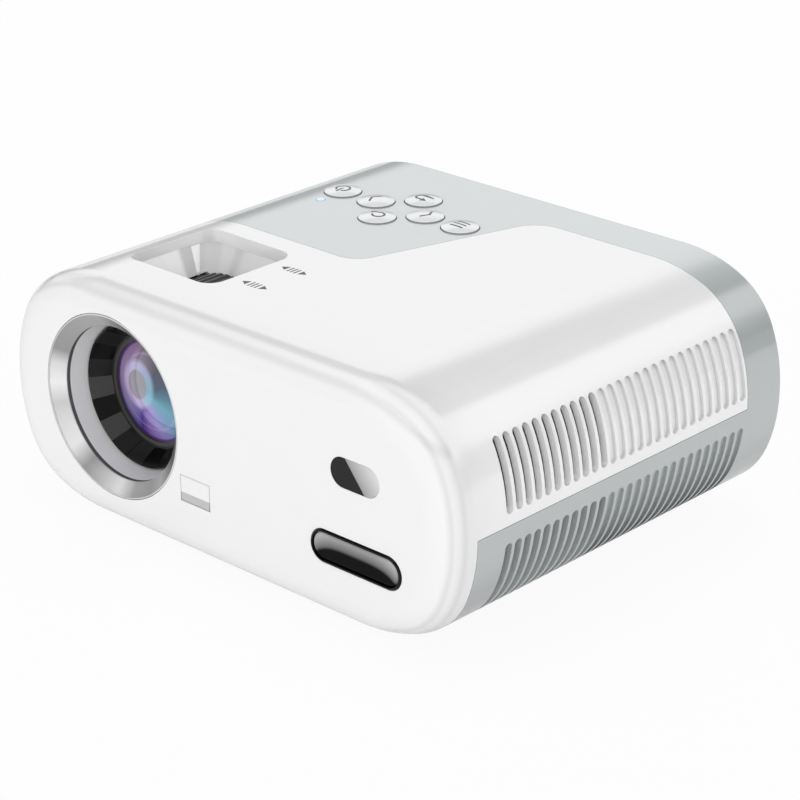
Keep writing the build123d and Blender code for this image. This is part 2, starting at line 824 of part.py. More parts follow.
def lens_mount():
    """The fixed sleeve, flanged to the optical housing, with its slot for the focus pin."""
    shoulder_y = engine_front_y - flange_thickness - shoulder_thickness
    sleeve = turned(lens_axis, [
        (mount_bore, mount_front_y), (mount_radius, mount_front_y),
        (mount_radius, shoulder_y), (shoulder_radius, shoulder_y),
        (shoulder_radius, engine_front_y - flange_thickness),
        (flange_radius, engine_front_y - flange_thickness),
        (flange_radius, engine_front_y), (mount_bore, engine_front_y),
    ])
    sleeve -= block(-far, far, -far, far, engine_roof_z, far)
    slot_half = focus_travel + focus_pin_radius + pin_clearance
    sleeve -= block(lens_x - focus_pin_radius - pin_clearance,
                    lens_x + focus_pin_radius + pin_clearance,
                    focus_pin_y - slot_half, focus_pin_y + slot_half,
                    lens_z - mount_radius - 1, lens_z - mount_bore + 3)
    for y in clip_ys:
        sleeve -= lens_axis * Pos(0, 0, y) * (
            Cylinder(mount_radius + 1, clip_thickness + 0.1)
            - Cylinder(mount_radius - clip_seat, clip_thickness + 1)
        )
    sleeve -= rod_y(lens_x, -far, far, rod_z_axis, rod_radius + rod_fit)
    for x, z in flange_screw_spots:
        sleeve -= screw_bore(x, engine_front_y - flange_thickness, z, (0, -1, 0))
    return sleeve


flange_screw_spots = [
    (lens_x + flange_screw_radius * math.cos(math.radians(a)),
     lens_z + flange_screw_radius * math.sin(math.radians(a)))
    for a in (40, 140, 220, 320)
]


def ring_clips():
    clips = []
    for y in clip_ys:
        clip = Cylinder(clip_radius, clip_thickness)
        clip -= Cylinder(mount_radius - clip_seat + thread_clearance, clip_thickness)
        clip -= Pos(0, -clip_radius, 0) * Box(clip_gap, clip_radius, clip_thickness)
        clips.append(lens_axis * Pos(0, 0, y) * clip)
    return clips


def toothed_ring(y0, y1):
    """A knurled ring about the lens axis, with bevelled rims and a bore for the sleeve."""
    step = 2 * math.pi / ring_teeth
    root = ring_radius - tooth_depth
    points = []
    for index in range(ring_teeth):
        for share, radius in ((0, root), (0.22, ring_radius), (0.6, ring_radius), (0.82, root)):
            angle = (index + share) * step
            points.append((radius * math.cos(angle), radius * math.sin(angle)))
    length = y1 - y0
    prism = extrude(make_face(Polyline(points, close=True)), amount=length)
    rim = ring_radius - ring_bevel
    bore = mount_radius + ring_fit
    bevelled = turned(Plane.XY, [
        (bore, 0), (rim, 0), (ring_radius + 0.1, ring_bevel),
        (ring_radius + 0.1, length - ring_bevel), (rim, length), (bore, length),
    ])
    return lens_axis * Pos(0, 0, y0) * (prism & bevelled)


def focus_groove():
    """The helical groove inside the focus ring, centred below the lens axis."""
    lead = 360 * focus_travel / focus_turn
    span = 2 * (focus_turn + groove_spare_turn)
    rise = lead * span / 360
    bore = mount_radius + ring_fit
    floor = focus_pin_tip + groove_floor_clearance
    middle = (bore + floor) / 2
    path = Helix(lead, rise, middle)
    section = Plane(origin=path @ 0, x_dir=(1, 0, 0), z_dir=path % 0) * Rectangle(
        floor - bore + 2, 2 * (focus_pin_radius + pin_clearance)
    )
    groove = sweep(section, path=path, is_frenet=True)
    return lens_axis * Pos(0, 0, focus_pin_y - rise / 2) * Rot(0, 0, 90 - span / 2) * groove


def focus_ring():
    return toothed_ring(focus_ring_front_y, focus_ring_rear_y) - focus_groove()


def keystone_ring():
    """The rear ring, with a collar whose slanted groove drives the rod."""
    ring = toothed_ring(keystone_front_y, keystone_rear_y)
    bore = mount_radius + ring_fit
    ring += turned(lens_axis, [
        (bore, keystone_rear_y - 1), (collar_radius, keystone_rear_y - 1),
        (collar_radius, collar_end_y), (bore, collar_end_y),
    ])
    rise_per_turn = rod_drop / math.sqrt(2) * keystone_tilt / keystone_turn
    slant = math.degrees(math.atan(rise_per_turn / (collar_groove_floor + collar_radius) * 2))
    width = 2 * (rod_radius + pin_clearance)
    disc = Cylinder(collar_radius + 2, width) - Cylinder(collar_groove_floor, width + 1)
    return ring - lens_axis * Pos(0, 0, peg_y) * Rot(0, -slant, 0) * disc


def keystone_rod():
    half = rod_radius + yoke_clearance + yoke_cheek
    rod = rod_y(lens_x, peg_y - rod_radius, mirror_y, rod_z_axis, rod_radius)
    rod += rod_z(lens_x, peg_y, rod_z_axis, lens_z - peg_reach, rod_radius)
    rod += block(lens_x - yoke_half_width, lens_x + yoke_half_width, mirror_y - half,
                 mirror_y + half, rod_z_axis - yoke_depth_below, rod_z_axis + yoke_depth_below)
    slot = rod_radius + yoke_clearance
    return rod - block(lens_x - far, lens_x + far, mirror_y - slot, mirror_y + slot,
                       lever_end_z - lever_clearance, lens_z)


lever_end_z = rod_z_axis - 0.4


def lens_hood():
    """The black cone in front of the glass, faceted inside."""
    shell = turned(lens_axis, [
        (0, depth(hood_depth)), (hood_radius, depth(hood_depth)),
        (hood_radius, depth(hood_end_depth)), (barrel_radius + thread_clearance, depth(hood_end_depth)),
        (barrel_radius + thread_clearance, depth(barrel_depth)), (0, depth(barrel_depth)),
    ])
    mouth = RegularPolygon(hood_radius - hood_rim, hood_facets)
    throat = RegularPolygon(hood_throat_radius, hood_facets)
    cone = loft([Pos(0, 0, depth(hood_depth)) * mouth, Pos(0, 0, depth(barrel_depth)) * throat])
    return shell - lens_axis * cone


front_pocket_end = barrel_depth + front_pocket_length
rear_pocket_start = barrel_end_depth - rear_pocket_length
retainer_end = barrel_depth + retainer_thickness
front_glass_start = retainer_end + 0.1
spacer_start = front_glass_start + front_glass_rim + 0.05
middle_glass_start = spacer_start + spacer_length + 0.05
rear_retainer_start = rear_pocket_start + rear_glass_rim + 0.1
glass_radius = pocket_radius - glass_clearance


def lens_barrel():
    barrel = turned(lens_axis, [
        (pocket_radius, depth(barrel_depth)), (barrel_radius, depth(barrel_depth)),
        (barrel_radius, depth(barrel_end_depth)), (pocket_radius, depth(barrel_end_depth)),
        (pocket_radius, depth(rear_pocket_start)), (barrel_bore, depth(rear_pocket_start)),
        (barrel_bore, depth(front_pocket_end)), (pocket_radius, depth(front_pocket_end)),
    ])
    return barrel - rod_z(lens_x, focus_pin_y, 0, lens_z - barrel_bore + 1,
                          focus_pin_radius + 0.02)


def tube_piece(start, length):
    """A ring in one of the barrel's pockets, from a depth."""
    return turned(lens_axis, [
        (retainer_bore, depth(start)), (glass_radius, depth(start)),
        (glass_radius, depth(start + length)), (retainer_bore, depth(start + length)),
    ])


def focus_pin():
    return rod_z(lens_x, focus_pin_y, lens_z - focus_pin_tip, lens_z - barrel_bore - 0.6,
                 focus_pin_radius)


# Optical engine
def engine_plan(inset, right):
    """Outline of the optical housing, drawn in by inset, with its slanted corner."""
    left = engine_left_x + inset
    front = engine_front_y + inset
    rear = engine_rear_y - inset
    slant = mirror_y - lens_x + (engine_chamfer - inset) * math.sqrt(2)
    return make_face(Polyline([
        (left, front), (right, front), (right, rear), (rear - slant, rear), (left, left + slant),
    ], close=True))


lid_screw_spots = [
    (engine_left_x + 3, engine_front_y + 3), (engine_right_x - 1.5, engine_front_y + 2.5),
    (engine_right_x - 1.5, engine_rear_y - 2.5), (lens_x + 17.3, engine_rear_y - 3),
]
sink_screw_spots = [(mirror_y + dy, lens_z + dz) for dy in (-25.5, 25.5) for dz in (-20, 20)]
lid_z = engine_roof_z - engine_wall
outer_right_x = engine_right_x + engine_end_wall
sill_z = engine_floor_z + engine_wall + sill_height
light_plates = [
    (field_fresnel_x, fresnel_thickness), (lcd_x, lcd_thickness),
    (rear_fresnel_x, fresnel_thickness), (heat_glass_x, heat_glass_thickness),
]
mirror_frame = Plane(origin=(lens_x, mirror_y, lens_z), x_dir=(1, 1, 0), z_dir=(1, -1, 0))


def optical_housing():
    inner_z = engine_floor_z + engine_wall
    front = engine_front_y + engine_wall
    rear = engine_rear_y - engine_wall
    body = extrude(Pos(0, 0, engine_floor_z) * engine_plan(0, outer_right_x),
                   amount=lid_z - engine_floor_z)
    room = extrude(Pos(0, 0, inner_z) * engine_plan(engine_wall, engine_right_x),
                   amount=engine_roof_z - inner_z)
    added = [rod_z(x, y, engine_floor_z, lid_z, 3.0) for x, y in lid_screw_spots]
    for x, thickness in light_plates:
        half = thickness / 2 + plate_clearance
        for x0 in (x - half - rib_thickness, x + half):
            for y0, y1 in ((front - 1, front + rib_reach), (rear - rib_reach, rear + 1)):
                added.append(block(x0, x0 + rib_thickness, y0, y1, inner_z - 1, lid_z))
        added.append(block(x - half - rib_thickness, x + half + rib_thickness, front - 1, rear + 1,
                           inner_z - 1, sill_z))
    bulkhead = block(condenser_x, condenser_x + 2 * condenser_rim, front - 1, rear + 1,
                     inner_z - 1, lid_z)
    bulkhead -= rod_x(0, far, mirror_y, lens_z, condenser_radius - 1.5)
    bulkhead -= rod_x(condenser_x + condenser_rim, far, mirror_y, lens_z,
                      condenser_radius + plate_clearance)
    added.append(bulkhead)
    body = body - room + (extrude(
        Pos(0, 0, engine_floor_z) * engine_plan(0, outer_right_x), amount=lid_z - engine_floor_z
    ) & (Part() + added))
    start = mirror_length / 2 + cradle_rim + bearing_gap
    for side in (-1, 1):
        centre = mirror_frame * Pos(side * (start + bearing_thickness / 2), 0, 0)
        tall = lens_z + bearing_width / 2 - inner_z + 1
        bearing = Pos(0, bearing_width / 2 - tall / 2, 0) * Box(bearing_thickness, tall, bearing_width)
        hole = Rot(0, 90, 0) * Cylinder(trunnion_radius + trunnion_fit, bearing_thickness * 3)
        body = body + centre * bearing - centre * hole
    body -= rod_y(lens_x, engine_front_y - 1, front + 1, lens_z, mount_bore + 0.6)
    body -= rod_y(lens_x, engine_front_y - 1, front + 1, rod_z_axis, rod_radius + rod_fit)
    body -= rod_x(engine_right_x - 1, far, mirror_y, lens_z, led_size * 0.8)
    half_board = led_board_size / 2 + 0.1
    body -= block(outer_right_x - board_thickness, far, mirror_y - half_board,
                  mirror_y + half_board, lens_z - half_board, lens_z + half_board)
    for x, z in flange_screw_spots:
        body -= screw_bore(x, engine_front_y - flange_thickness, z, (0, -1, 0))
    for x, y in lid_screw_spots:
        body -= screw_bore(x, y, engine_roof_z, (0, 0, 1))
    for x, y in engine_post_spots:
        body -= screw_bore(x, y, inner_z, (0, 0, 1))
    for y, z in sink_screw_spots:
        body -= screw_bore(outer_right_x + sink_base, y, z, (1, 0, 0))
    return body


def optical_lid():
    lid = extrude(Pos(0, 0, lid_z) * engine_plan(0, outer_right_x), amount=engine_wall)
    for x, y in lid_screw_spots:
        lid -= screw_bore(x, y, engine_roof_z, (0, 0, 1))
    return lid


def mirror_cradle():
    long, tall = mirror_length + 2 * cradle_rim, mirror_height + 2 * cradle_rim
    deep = cradle_thickness + mirror_thickness - 0.4
    plate = Pos(0, 0, deep / 2 - cradle_thickness) * Box(long, tall, deep)
    pocket = Pos(0, 0, mirror_thickness) * Box(mirror_length + 0.1, mirror_height + 0.1,
                                               2 * mirror_thickness)
    cradle = plate - pocket
    for side in (-1, 1):
        trunnion = Rot(0, 90, 0) * Cylinder(trunnion_radius, trunnion_length + 1)
        cradle += Pos(side * (long / 2 + trunnion_length / 2 - 0.5), 0, 0) * trunnion
    lever = rod_z(lens_x, mirror_y, lever_end_z, lens_z - mirror_height / 2 - 0.5, rod_radius)
    return mirror_frame * cradle + lever


def fold_mirror():
    return mirror_frame * Pos(0, 0, mirror_thickness / 2) * Box(
        mirror_length, mirror_height, mirror_thickness
    )


def light_plate(x, thickness):
    return block(x - thickness / 2, x + thickness / 2,
                 engine_front_y + engine_wall + plate_clearance,
                 engine_rear_y - engine_wall - plate_clearance, sill_z, lid_z - plate_clearance)


def fresnel(x):
    """A plate with a few of its concentric grooves."""
    plate = light_plate(x, fresnel_thickness)
    for radius in range(4, 25, 4):
        groove = Cylinder(radius + 0.4, 0.5) - Cylinder(radius, 0.5)
        plate -= lamp_axis * Pos(0, 0, x - fresnel_thickness / 2) * groove
    return plate


def lcd_panel():
    """A metal frame with a stepped window, and the display glass that fills it."""
    frame = light_plate(lcd_x, lcd_thickness)
    window = lamp_axis * Pos(0, 0, lcd_x) * Box(lcd_window_width, lcd_window_height, lcd_thickness * 2)
    pane = lamp_axis * Pos(0, 0, lcd_x) * Box(
        lcd_window_width, lcd_window_height, lcd_thickness - 2 * lcd_glass_inset
    )
    return [frame - window, pane]


def condenser_lens():
    return glass(lamp_axis, condenser_radius, condenser_x + condenser_rim,
                 condenser_x + 2 * condenser_rim, 0, condenser_bulge)


def led_board():
    half = led_board_size / 2
    return block(outer_right_x - board_thickness, outer_right_x, mirror_y - half,
                 mirror_y + half, lens_z - half, lens_z + half)


def led_emitter():
    half = led_size / 2
    back = outer_right_x - board_thickness
    base = block(back - 1.2, back, mirror_y - half, mirror_y + half, lens_z - half, lens_z + half)
    dome = Pos(back - 1.2, mirror_y, lens_z) * Sphere(led_dome_radius)
    return base + (dome & block(-far, back - 0.5, -far, far, -far, far))


def heat_sink():
    base_y = sink_length / 2 + 4
    low, high = lens_z - sink_height / 2, lens_z + sink_height / 2
    left = outer_right_x
    sink = block(left, left + sink_base, mirror_y - base_y, mirror_y + base_y, low, high)
    step = (sink_height - fin_thickness) / (sink_fins - 1)
    fins = [
        block(left + sink_base - 1, left + sink_base + fin_reach, mirror_y - sink_length / 2 + 2,
              mirror_y + sink_length / 2 - 2, low + index * step, low + index * step + fin_thickness)
        for index in range(sink_fins)
    ]
    sink += fins
    for y, z in sink_screw_spots:
        sink -= screw_bore(left + sink_base, y, z, (1, 0, 0))
    return sink


# Fan
def fan_frame():
    half = fan_size / 2
    right = fan_left_x + fan_thickness
    strut_x = right - 2.5
    frame = block(fan_left_x, right, fan_y - half, fan_y + half, fan_z - half, fan_z + half)
    frame -= rod_x(fan_left_x - 1, right + 1, fan_y, fan_z, fan_bore_radius)
    for y in (-25, 25):
        for z in (-25, 25):
            frame -= rod_x(fan_left_x - 1, right + 1, fan_y + y, fan_z + z, fan_corner_hole)
    frame += rod_x(strut_x, right, fan_y, fan_z, fan_hub_radius)
    frame += rod_x(fan_left_x + 4, right, fan_y, fan_z, 3.5)
    for index in range(3):
        strut = Rot(0, 0, 120 * index + 90) * Pos((fan_hub_radius + fan_bore_radius) / 2, 0, 0) * Box(
            fan_bore_radius - fan_hub_radius + 2, 3.0, 2.5)
        frame += fan_axis * Pos(0, 0, strut_x + 1.25) * strut
    return frame - rod_x(0, right - 1, fan_y, fan_z, fan_shaft_radius + fan_shaft_fit)


def fan_rotor():
    start = fan_left_x + 0.5
    end = fan_left_x + fan_thickness - 3.2
    rotor = rod_x(start, end, fan_y, fan_z, fan_hub_radius)
    rotor -= rod_x(start + 1.5, end + 1, fan_y, fan_z, fan_hub_radius - fan_hub_wall)
    rotor += rod_x(start, fan_left_x + fan_thickness - 1.5, fan_y, fan_z, fan_shaft_radius)
    middle = (start + end) / 2
    chord = (end - start - 1.6) / math.cos(math.radians(fan_blade_pitch))
    span = fan_blade_radius - fan_hub_radius + 1
    limit = rod_x(start, end, fan_y, fan_z, fan_blade_radius)
    for index in range(fan_blades):
        blade = Rot(0, 0, 360 * index / fan_blades) * Pos(fan_hub_radius + span / 2 - 0.8, 0, 0) * (
            Rot(fan_blade_pitch, 0, 0) * Box(span, fan_blade_thickness, chord)
        )
        rotor += (fan_axis * Pos(0, 0, middle) * blade) & limit
    return rotor


# Keypad
def button(x, y):
    switch_top = key_board_z + switch_height
    flange_low = button_collar_z - button_flange_thickness
    wide = button_radius + button_flange
    edge_z = top_z + button_proud
    low = switch_top - stem_entry
    profile = Polyline(
        (0, 0, low), (stem_radius, 0, low), (stem_radius, 0, flange_low), (wide, 0, flange_low),
        (wide, 0, button_collar_z), (button_radius, 0, button_collar_z), (button_radius, 0, edge_z),
    )
    dome = dome_arc(button_radius, edge_z, button_dome)
    axis_side = Line((0, 0, low), dome @ 0)
    outline = Wire(profile.edges() + dome.edges() + axis_side.edges())
    cap = revolve(make_face(outline), Axis.Z)
    rim = cap.edges().filter_by(GeomType.CIRCLE).filter_by_position(Axis.Z, edge_z, edge_z)
    return Pos(x, y, 0) * fillet(rim, button_rim_radius)


def key_board():
    board = block(keypad_x - 37, keypad_x + 36, keypad_y - 17.5, keypad_y + 17.5,
                  key_board_z - board_thickness, key_board_z)
    for x, y in key_post_spots:
        board -= screw_bore(x, y, key_board_z - board_thickness, (0, 0, -1))
    return board


def key_switches():
    half = switch_size / 2
    top = key_board_z + switch_height
    return [
        block(x - half, x + half, y - half, y + half, key_board_z, top)
        - rod_z(x, y, top - 2, top + 1, stem_radius + 0.2)
        for x, y in buttons.values()
    ]


def status_light():
    return rod_z(status_light_x, status_light_y, key_board_z, top_z + 0.2, status_light_radius)


# Boards and sockets
def main_board():
    board = block(main_board_left_x, main_board_right_x, main_board_y,
                  main_board_y + board_thickness, main_board_low_z, main_board_high_z)
    for x, z in main_post_spots:
        board -= screw_bore(x, main_board_y, z, (0, -1, 0))
    return board


def main_chips():
    y = main_board_y + board_thickness
    chips = [(8.0, 50.0, 15.0, 15.0, 1.6), (28.0, 50.0, 9.0, 12.0, 1.2), (-10.0, 52.0, 8.0, 8.0, 1.2)]
    return [block(x - w / 2, x + w / 2, y, y + t, z - h / 2, z + h / 2) for x, z, w, h, t in chips]


def socket(x, width, tall, room_width, room_tall, tongue):
    """A metal-cased socket that stands on the main board and faces the rear."""
    y0, y1 = main_board_y + board_thickness, rear_y - socket_recess
    shell = block(x - width / 2, x + width / 2, y0, y1, socket_z - tall / 2, socket_z + tall / 2)
    shell -= block(x - room_width / 2, x + room_width / 2, y1 - 10, y1 + 1,
                   socket_z - room_tall / 2, socket_z + room_tall / 2)
    low, high = tongue
    return shell + block(x - room_width / 2 + 1.3, x + room_width / 2 - 1.3, y1 - 11, y1 - 1.5,
                         socket_z + low, socket_z + high)


def audio_jack():
    y0, y1 = main_board_y + board_thickness, rear_y - socket_recess
    body = block(jack_x - 4.5, jack_x + 4.5, y0, inner_rear_y - 0.4, socket_z - 4, socket_z + 4)
    body += rod_y(jack_x, y0, y1, socket_z, jack_radius)
    return body - rod_y(jack_x, y1 - jack_bore_length, y1 + 1, socket_z, jack_bore_radius)


def mains_inlet():
    y1 = rear_y - socket_recess
    half_w, half_h = inlet_width / 2, inlet_height / 2
    body = block(inlet_x - half_w, inlet_x + half_w, y1 - inlet_length, y1,
                 socket_z - half_h, socket_z + half_h)
    body += block(inlet_x - half_w - 2, inlet_x + half_w + 2, inner_rear_y - 1.6, inner_rear_y,
                  socket_z - half_h - 2, socket_z + half_h + 2)
    body -= capsule_y(inlet_x, socket_z, inlet_width - 4, inlet_height - 4, y1 - 11, y1 + 1)
    for side in (-1, 1):
        body += rod_y(inlet_x + side * inlet_pin_spacing / 2, y1 - 12, y1 - 2, socket_z,
                      inlet_pin_radius)
    return body


def power_board():
    board = block(power_board_left_x, power_board_right_x, power_board_front_y,
                  power_board_rear_y, power_board_z, power_board_z + board_thickness)
    for x, y in power_post_spots:
        board -= screw_bore(x, y, power_board_z + board_thickness, (0, 0, 1))
    return board


def power_parts():
    z = power_board_z + board_thickness
    middle_x = (power_board_left_x + power_board_right_x) / 2
    middle_y = (power_board_front_y + power_board_rear_y) / 2
    core = block(middle_x - 13, middle_x + 11, middle_y - 10, middle_y + 12, z, z + 19)
    bulk = rod_z(middle_x + 21, middle_y - 4, z, z + 24, 7.5)
    choke = rod_z(middle_x - 22, middle_y - 8, z, z + 12, 7) - rod_z(
        middle_x - 22, middle_y - 8, z + 1, z + 13, 3)
    output = rod_z(middle_x - 22, middle_y + 10, z, z + 15, 5)
    return [core, bulk, choke, output]


speaker_axis = Plane(origin=(speaker_x, 0, lens_z), x_dir=(1, 0, 0), z_dir=(0, 1, 0))


def speaker():
    back = inner_rear_y - speaker_depth
    rim = speaker_radius
    return turned(speaker_axis, [
        (0, back), (11, back), (11, back + 4), (rim - 1, inner_rear_y - 2.5),
        (rim, inner_rear_y - 2.5), (rim, inner_rear_y), (rim - 2.2, inner_rear_y),
        (rim - 2.2, inner_rear_y - 1.5), (rim - 3.6, inner_rear_y - 1.5),
        (10, back + 5.8), (0, back + 5.8),
    ])


def speaker_cone():
    rim = speaker_radius - 2.4
    edge = inner_rear_y - 1.5
    return turned(speaker_axis, [
        (0, edge - 3.6), (5, edge - 3.6), (rim - 1.8, edge), (rim, edge), (rim, edge + 0.6),
        (rim - 2.2, edge + 0.6), (5, edge - 2.8), (0, edge - 2.8),
    ])


def small_screws():
    screws = [small_screw(x, engine_front_y - flange_thickness, z, (0, -1, 0))
              for x, z in flange_screw_spots]
    screws += [small_screw(x, y, engine_roof_z, (0, 0, 1)) for x, y in lid_screw_spots]
    screws += [small_screw(x, y, engine_floor_z + engine_wall, (0, 0, 1))
               for x, y in engine_post_spots]
    screws += [small_screw(outer_right_x + sink_base, y, z, (1, 0, 0)) for y, z in sink_screw_spots]
    screws += [small_screw(x, y, key_board_z - board_thickness, (0, 0, -1))
               for x, y in key_post_spots]
    screws += [small_screw(x, main_board_y, z, (0, -1, 0)) for x, z in main_post_spots]
    screws += [small_screw(x, y, power_board_z + board_thickness, (0, 0, 1))
               for x, y in power_post_spots]
    return screws


def build():
    os.makedirs("parts", exist_ok=True)
    shell = vented_shell()
    save("cover", cover_shell(shell))
    save("housing", housing_shell(shell))
    save_group("case_screws", case_screws())
    save_group("rubber_feet", rubber_feet())
    save("tripod_insert", tripod_insert())
    save("lens_bezel", lens_bezel())
    save("bezel_gasket", bezel_gasket())
    save("lens_shroud", lens_shroud())
    save("receiver_window", receiver_window())
    save_group("receiver", receiver())
    save("name_plate_rim", name_plate_rim())
    save("name_plate", name_plate())
    save("well_funnel", well_funnel())
    save("lens_mount", lens_mount())
    save_group("ring_clips", ring_clips())
    save("focus_ring", focus_ring())
    save("keystone_ring", keystone_ring())
    save("keystone_rod", keystone_rod())
    save("lens_barrel", lens_barrel())
    save("lens_hood", lens_hood())
    save_group("glass_retainers", [
        tube_piece(barrel_depth, retainer_thickness),
        tube_piece(rear_retainer_start, retainer_thickness),
    ])
    save("front_glass", glass(lens_axis, glass_radius, depth(front_glass_start),
                              depth(front_glass_start + front_glass_rim), front_glass_bulge, 0.6))
    save("glass_spacer", tube_piece(spacer_start, spacer_length))
    save("middle_glass", glass(lens_axis, glass_radius, depth(middle_glass_start),
                               depth(middle_glass_start + middle_glass_rim),
                               -middle_glass_hollow, -middle_glass_hollow))
    save("rear_glass", glass(lens_axis, glass_radius, depth(rear_pocket_start),
                             depth(rear_pocket_start + rear_glass_rim), rear_glass_bulge,
                             rear_glass_bulge))
    save("focus_pin", focus_pin())
    save("optical_housing", optical_housing())
    save("optical_lid", optical_lid())
    save("mirror_cradle", mirror_cradle())
    save("fold_mirror", fold_mirror())
    save("field_fresnel", fresnel(field_fresnel_x))
    save_group("lcd_panel", lcd_panel())
    save("rear_fresnel", fresnel(rear_fresnel_x))
    save("heat_glass", light_plate(heat_glass_x, heat_glass_thickness))
    save("condenser_lens", condenser_lens())
    save("led_board", led_board())
    save("led_emitter", led_emitter())
    save("heat_sink", heat_sink())
    save("fan_frame", fan_frame())
    save("fan_rotor", fan_rotor())
    for name, (x, y) in buttons.items():
        save(name, button(x, y))
    save("key_board", key_board())
    save_group("key_switches", key_switches())
    save("status_light", status_light())
    save("main_board", main_board())
    save_group("main_chips", main_chips())
    save("hdmi_socket", socket(hdmi_x, hdmi_width, hdmi_height, 14.0, 4.6, (-0.5, 0.5)))
    save("usb_socket", socket(usb_x, usb_width, usb_height, 13.2, 5.8, (0.4, 2.2)))
    save("audio_jack", audio_jack())
    save("mains_inlet", mains_inlet())
    save("power_board", power_board())
    save_group("power_parts", power_parts())
    save("speaker", speaker())
    save("speaker_cone", speaker_cone())
    save_group("small_screws", small_screws())


build()
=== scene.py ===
# %% [markdown]
# This lesson dresses a compact video projector: a white cover with a lens port on a grey housing.
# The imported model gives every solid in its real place, in metres, with +Z up and the front towards
# -Y. We load it first and keep its box, because nothing that we add may reach outside it.

import math

import bmesh
import bpy
from mathutils import Matrix, Vector
from mathutils.bvhtree import BVHTree
from mathutils.geometry import tessellate_polygon


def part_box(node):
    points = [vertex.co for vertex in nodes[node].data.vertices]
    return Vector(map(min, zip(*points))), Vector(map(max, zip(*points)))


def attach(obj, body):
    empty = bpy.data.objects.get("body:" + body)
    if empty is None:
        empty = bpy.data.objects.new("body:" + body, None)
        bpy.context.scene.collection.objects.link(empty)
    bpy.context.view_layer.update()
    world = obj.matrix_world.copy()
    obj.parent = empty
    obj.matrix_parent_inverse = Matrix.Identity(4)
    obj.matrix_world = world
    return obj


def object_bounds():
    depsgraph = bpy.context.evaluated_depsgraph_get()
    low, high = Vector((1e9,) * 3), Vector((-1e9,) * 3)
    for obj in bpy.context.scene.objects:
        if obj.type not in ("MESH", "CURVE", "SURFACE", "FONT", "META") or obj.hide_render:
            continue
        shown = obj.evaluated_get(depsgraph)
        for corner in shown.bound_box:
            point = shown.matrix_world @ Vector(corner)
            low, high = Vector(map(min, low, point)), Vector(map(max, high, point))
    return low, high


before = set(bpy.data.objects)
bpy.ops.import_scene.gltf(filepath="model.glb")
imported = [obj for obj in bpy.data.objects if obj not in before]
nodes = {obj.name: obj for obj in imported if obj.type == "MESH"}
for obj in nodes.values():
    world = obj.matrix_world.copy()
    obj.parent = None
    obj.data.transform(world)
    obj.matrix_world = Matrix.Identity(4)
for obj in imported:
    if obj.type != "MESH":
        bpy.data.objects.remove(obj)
cad_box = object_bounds()
mm = 0.001

# %% [markdown]
# The camera comes before any looks, so that each finish is judged in the frame of the photograph.
# A long lens looks down at the corner from the right of the front. We state the two angles and the
# distance, as a photographer would, and build the camera's axes from them.

# %% Place the camera
view_azimuth = math.radians(43.38)
view_elevation = math.radians(23.36)
view_roll = math.radians(-0.32)
view_distance = 898.12 * mm
view_target = Vector((3.889, 0.849, 37.745)) * mm
sensor_width = 36.0
frame_pixels = 800
focal_pixels = 2730
nearest, farthest = 0.05, 20           # metres that the camera sees


def camera_axes():
    back = Vector((
        math.sin(view_azimuth) * math.cos(view_elevation),
        -math.cos(view_azimuth) * math.cos(view_elevation),
        math.sin(view_elevation),
    ))
    right = Vector((math.cos(view_azimuth), math.sin(view_azimuth), 0))
    up = back.cross(right)
    turned_right = right * math.cos(view_roll) + up * math.sin(view_roll)
    turned_up = up * math.cos(view_roll) - right * math.sin(view_roll)
    return turned_right, turned_up, back


right, up, back = camera_axes()
camera_data = bpy.data.cameras.new("camera")
camera_data.sensor_fit = "HORIZONTAL"
camera_data.sensor_width = sensor_width
camera_data.lens = sensor_width * focal_pixels / frame_pixels
camera_data.clip_start = nearest
camera_data.clip_end = farthest
camera = bpy.data.objects.new("camera", camera_data)
bpy.context.scene.collection.objects.link(camera)
axes = Matrix((right, up, back)).transposed().to_4x4()
camera.matrix_world = Matrix.Translation(view_target + back * view_distance) @ axes
bpy.context.scene.camera = camera
print("lens", round(camera_data.lens, 2), "mm, camera at", camera.matrix_world.translation)

# %% [markdown]
# The picture was taken in a white studio: light comes from all sides, and the gloss shows the gaps
# between the white panels as soft dark bands along every rounding. We could hang many lamps, but
# a world that is banded by height gives the same bands in one step, with little noise. It has one
# set of bands in front of the object and two behind it. Here are their heights and levels.

# %% Choose the studio's bands
# Each step is the sine of the height above the horizon and the brightness there.
front_bands = (
    (-1.00, 0.70), (0.00, 0.75), (0.12, 0.65), (0.42, 0.75), (0.52, 0.10), (0.66, 0.10),
    (0.76, 1.10), (1.00, 1.10),
)
rear_left_bands = (
    (-1.00, 0.70), (0.00, 0.20), (0.12, 0.30), (0.28, 1.05), (0.55, 1.08), (0.63, 0.05),
    (0.78, 0.05), (0.88, 1.10), (1.00, 1.10),
)
rear_right_bands = (
    (-1.00, 0.70), (0.00, 0.30), (0.20, 0.10), (0.34, 0.40), (0.46, 1.10), (1.00, 1.10),
)
front_end, rear_start = 0.0, 0.22      # of the direction's Y, where the front gives way to the rear
left_end, right_start = 0.08, 0.25     # of its X, where the rear's left gives way to its right
even_level = 0.56
print("bands chosen, with", len(front_bands), "steps in front")

# %% [markdown]
# The world and most finishes are trees of small nodes: ramps, mixes and sums. Written out in full
# they would hide what they are for, so each kind of node gets a helper that adds it, sets its
# numbers, links what goes in and returns what comes out.

# %% Make helpers for node trees
plain_white = (1, 1, 1, 1)


def link(tree, start, end):
    tree.links.new(start, end)


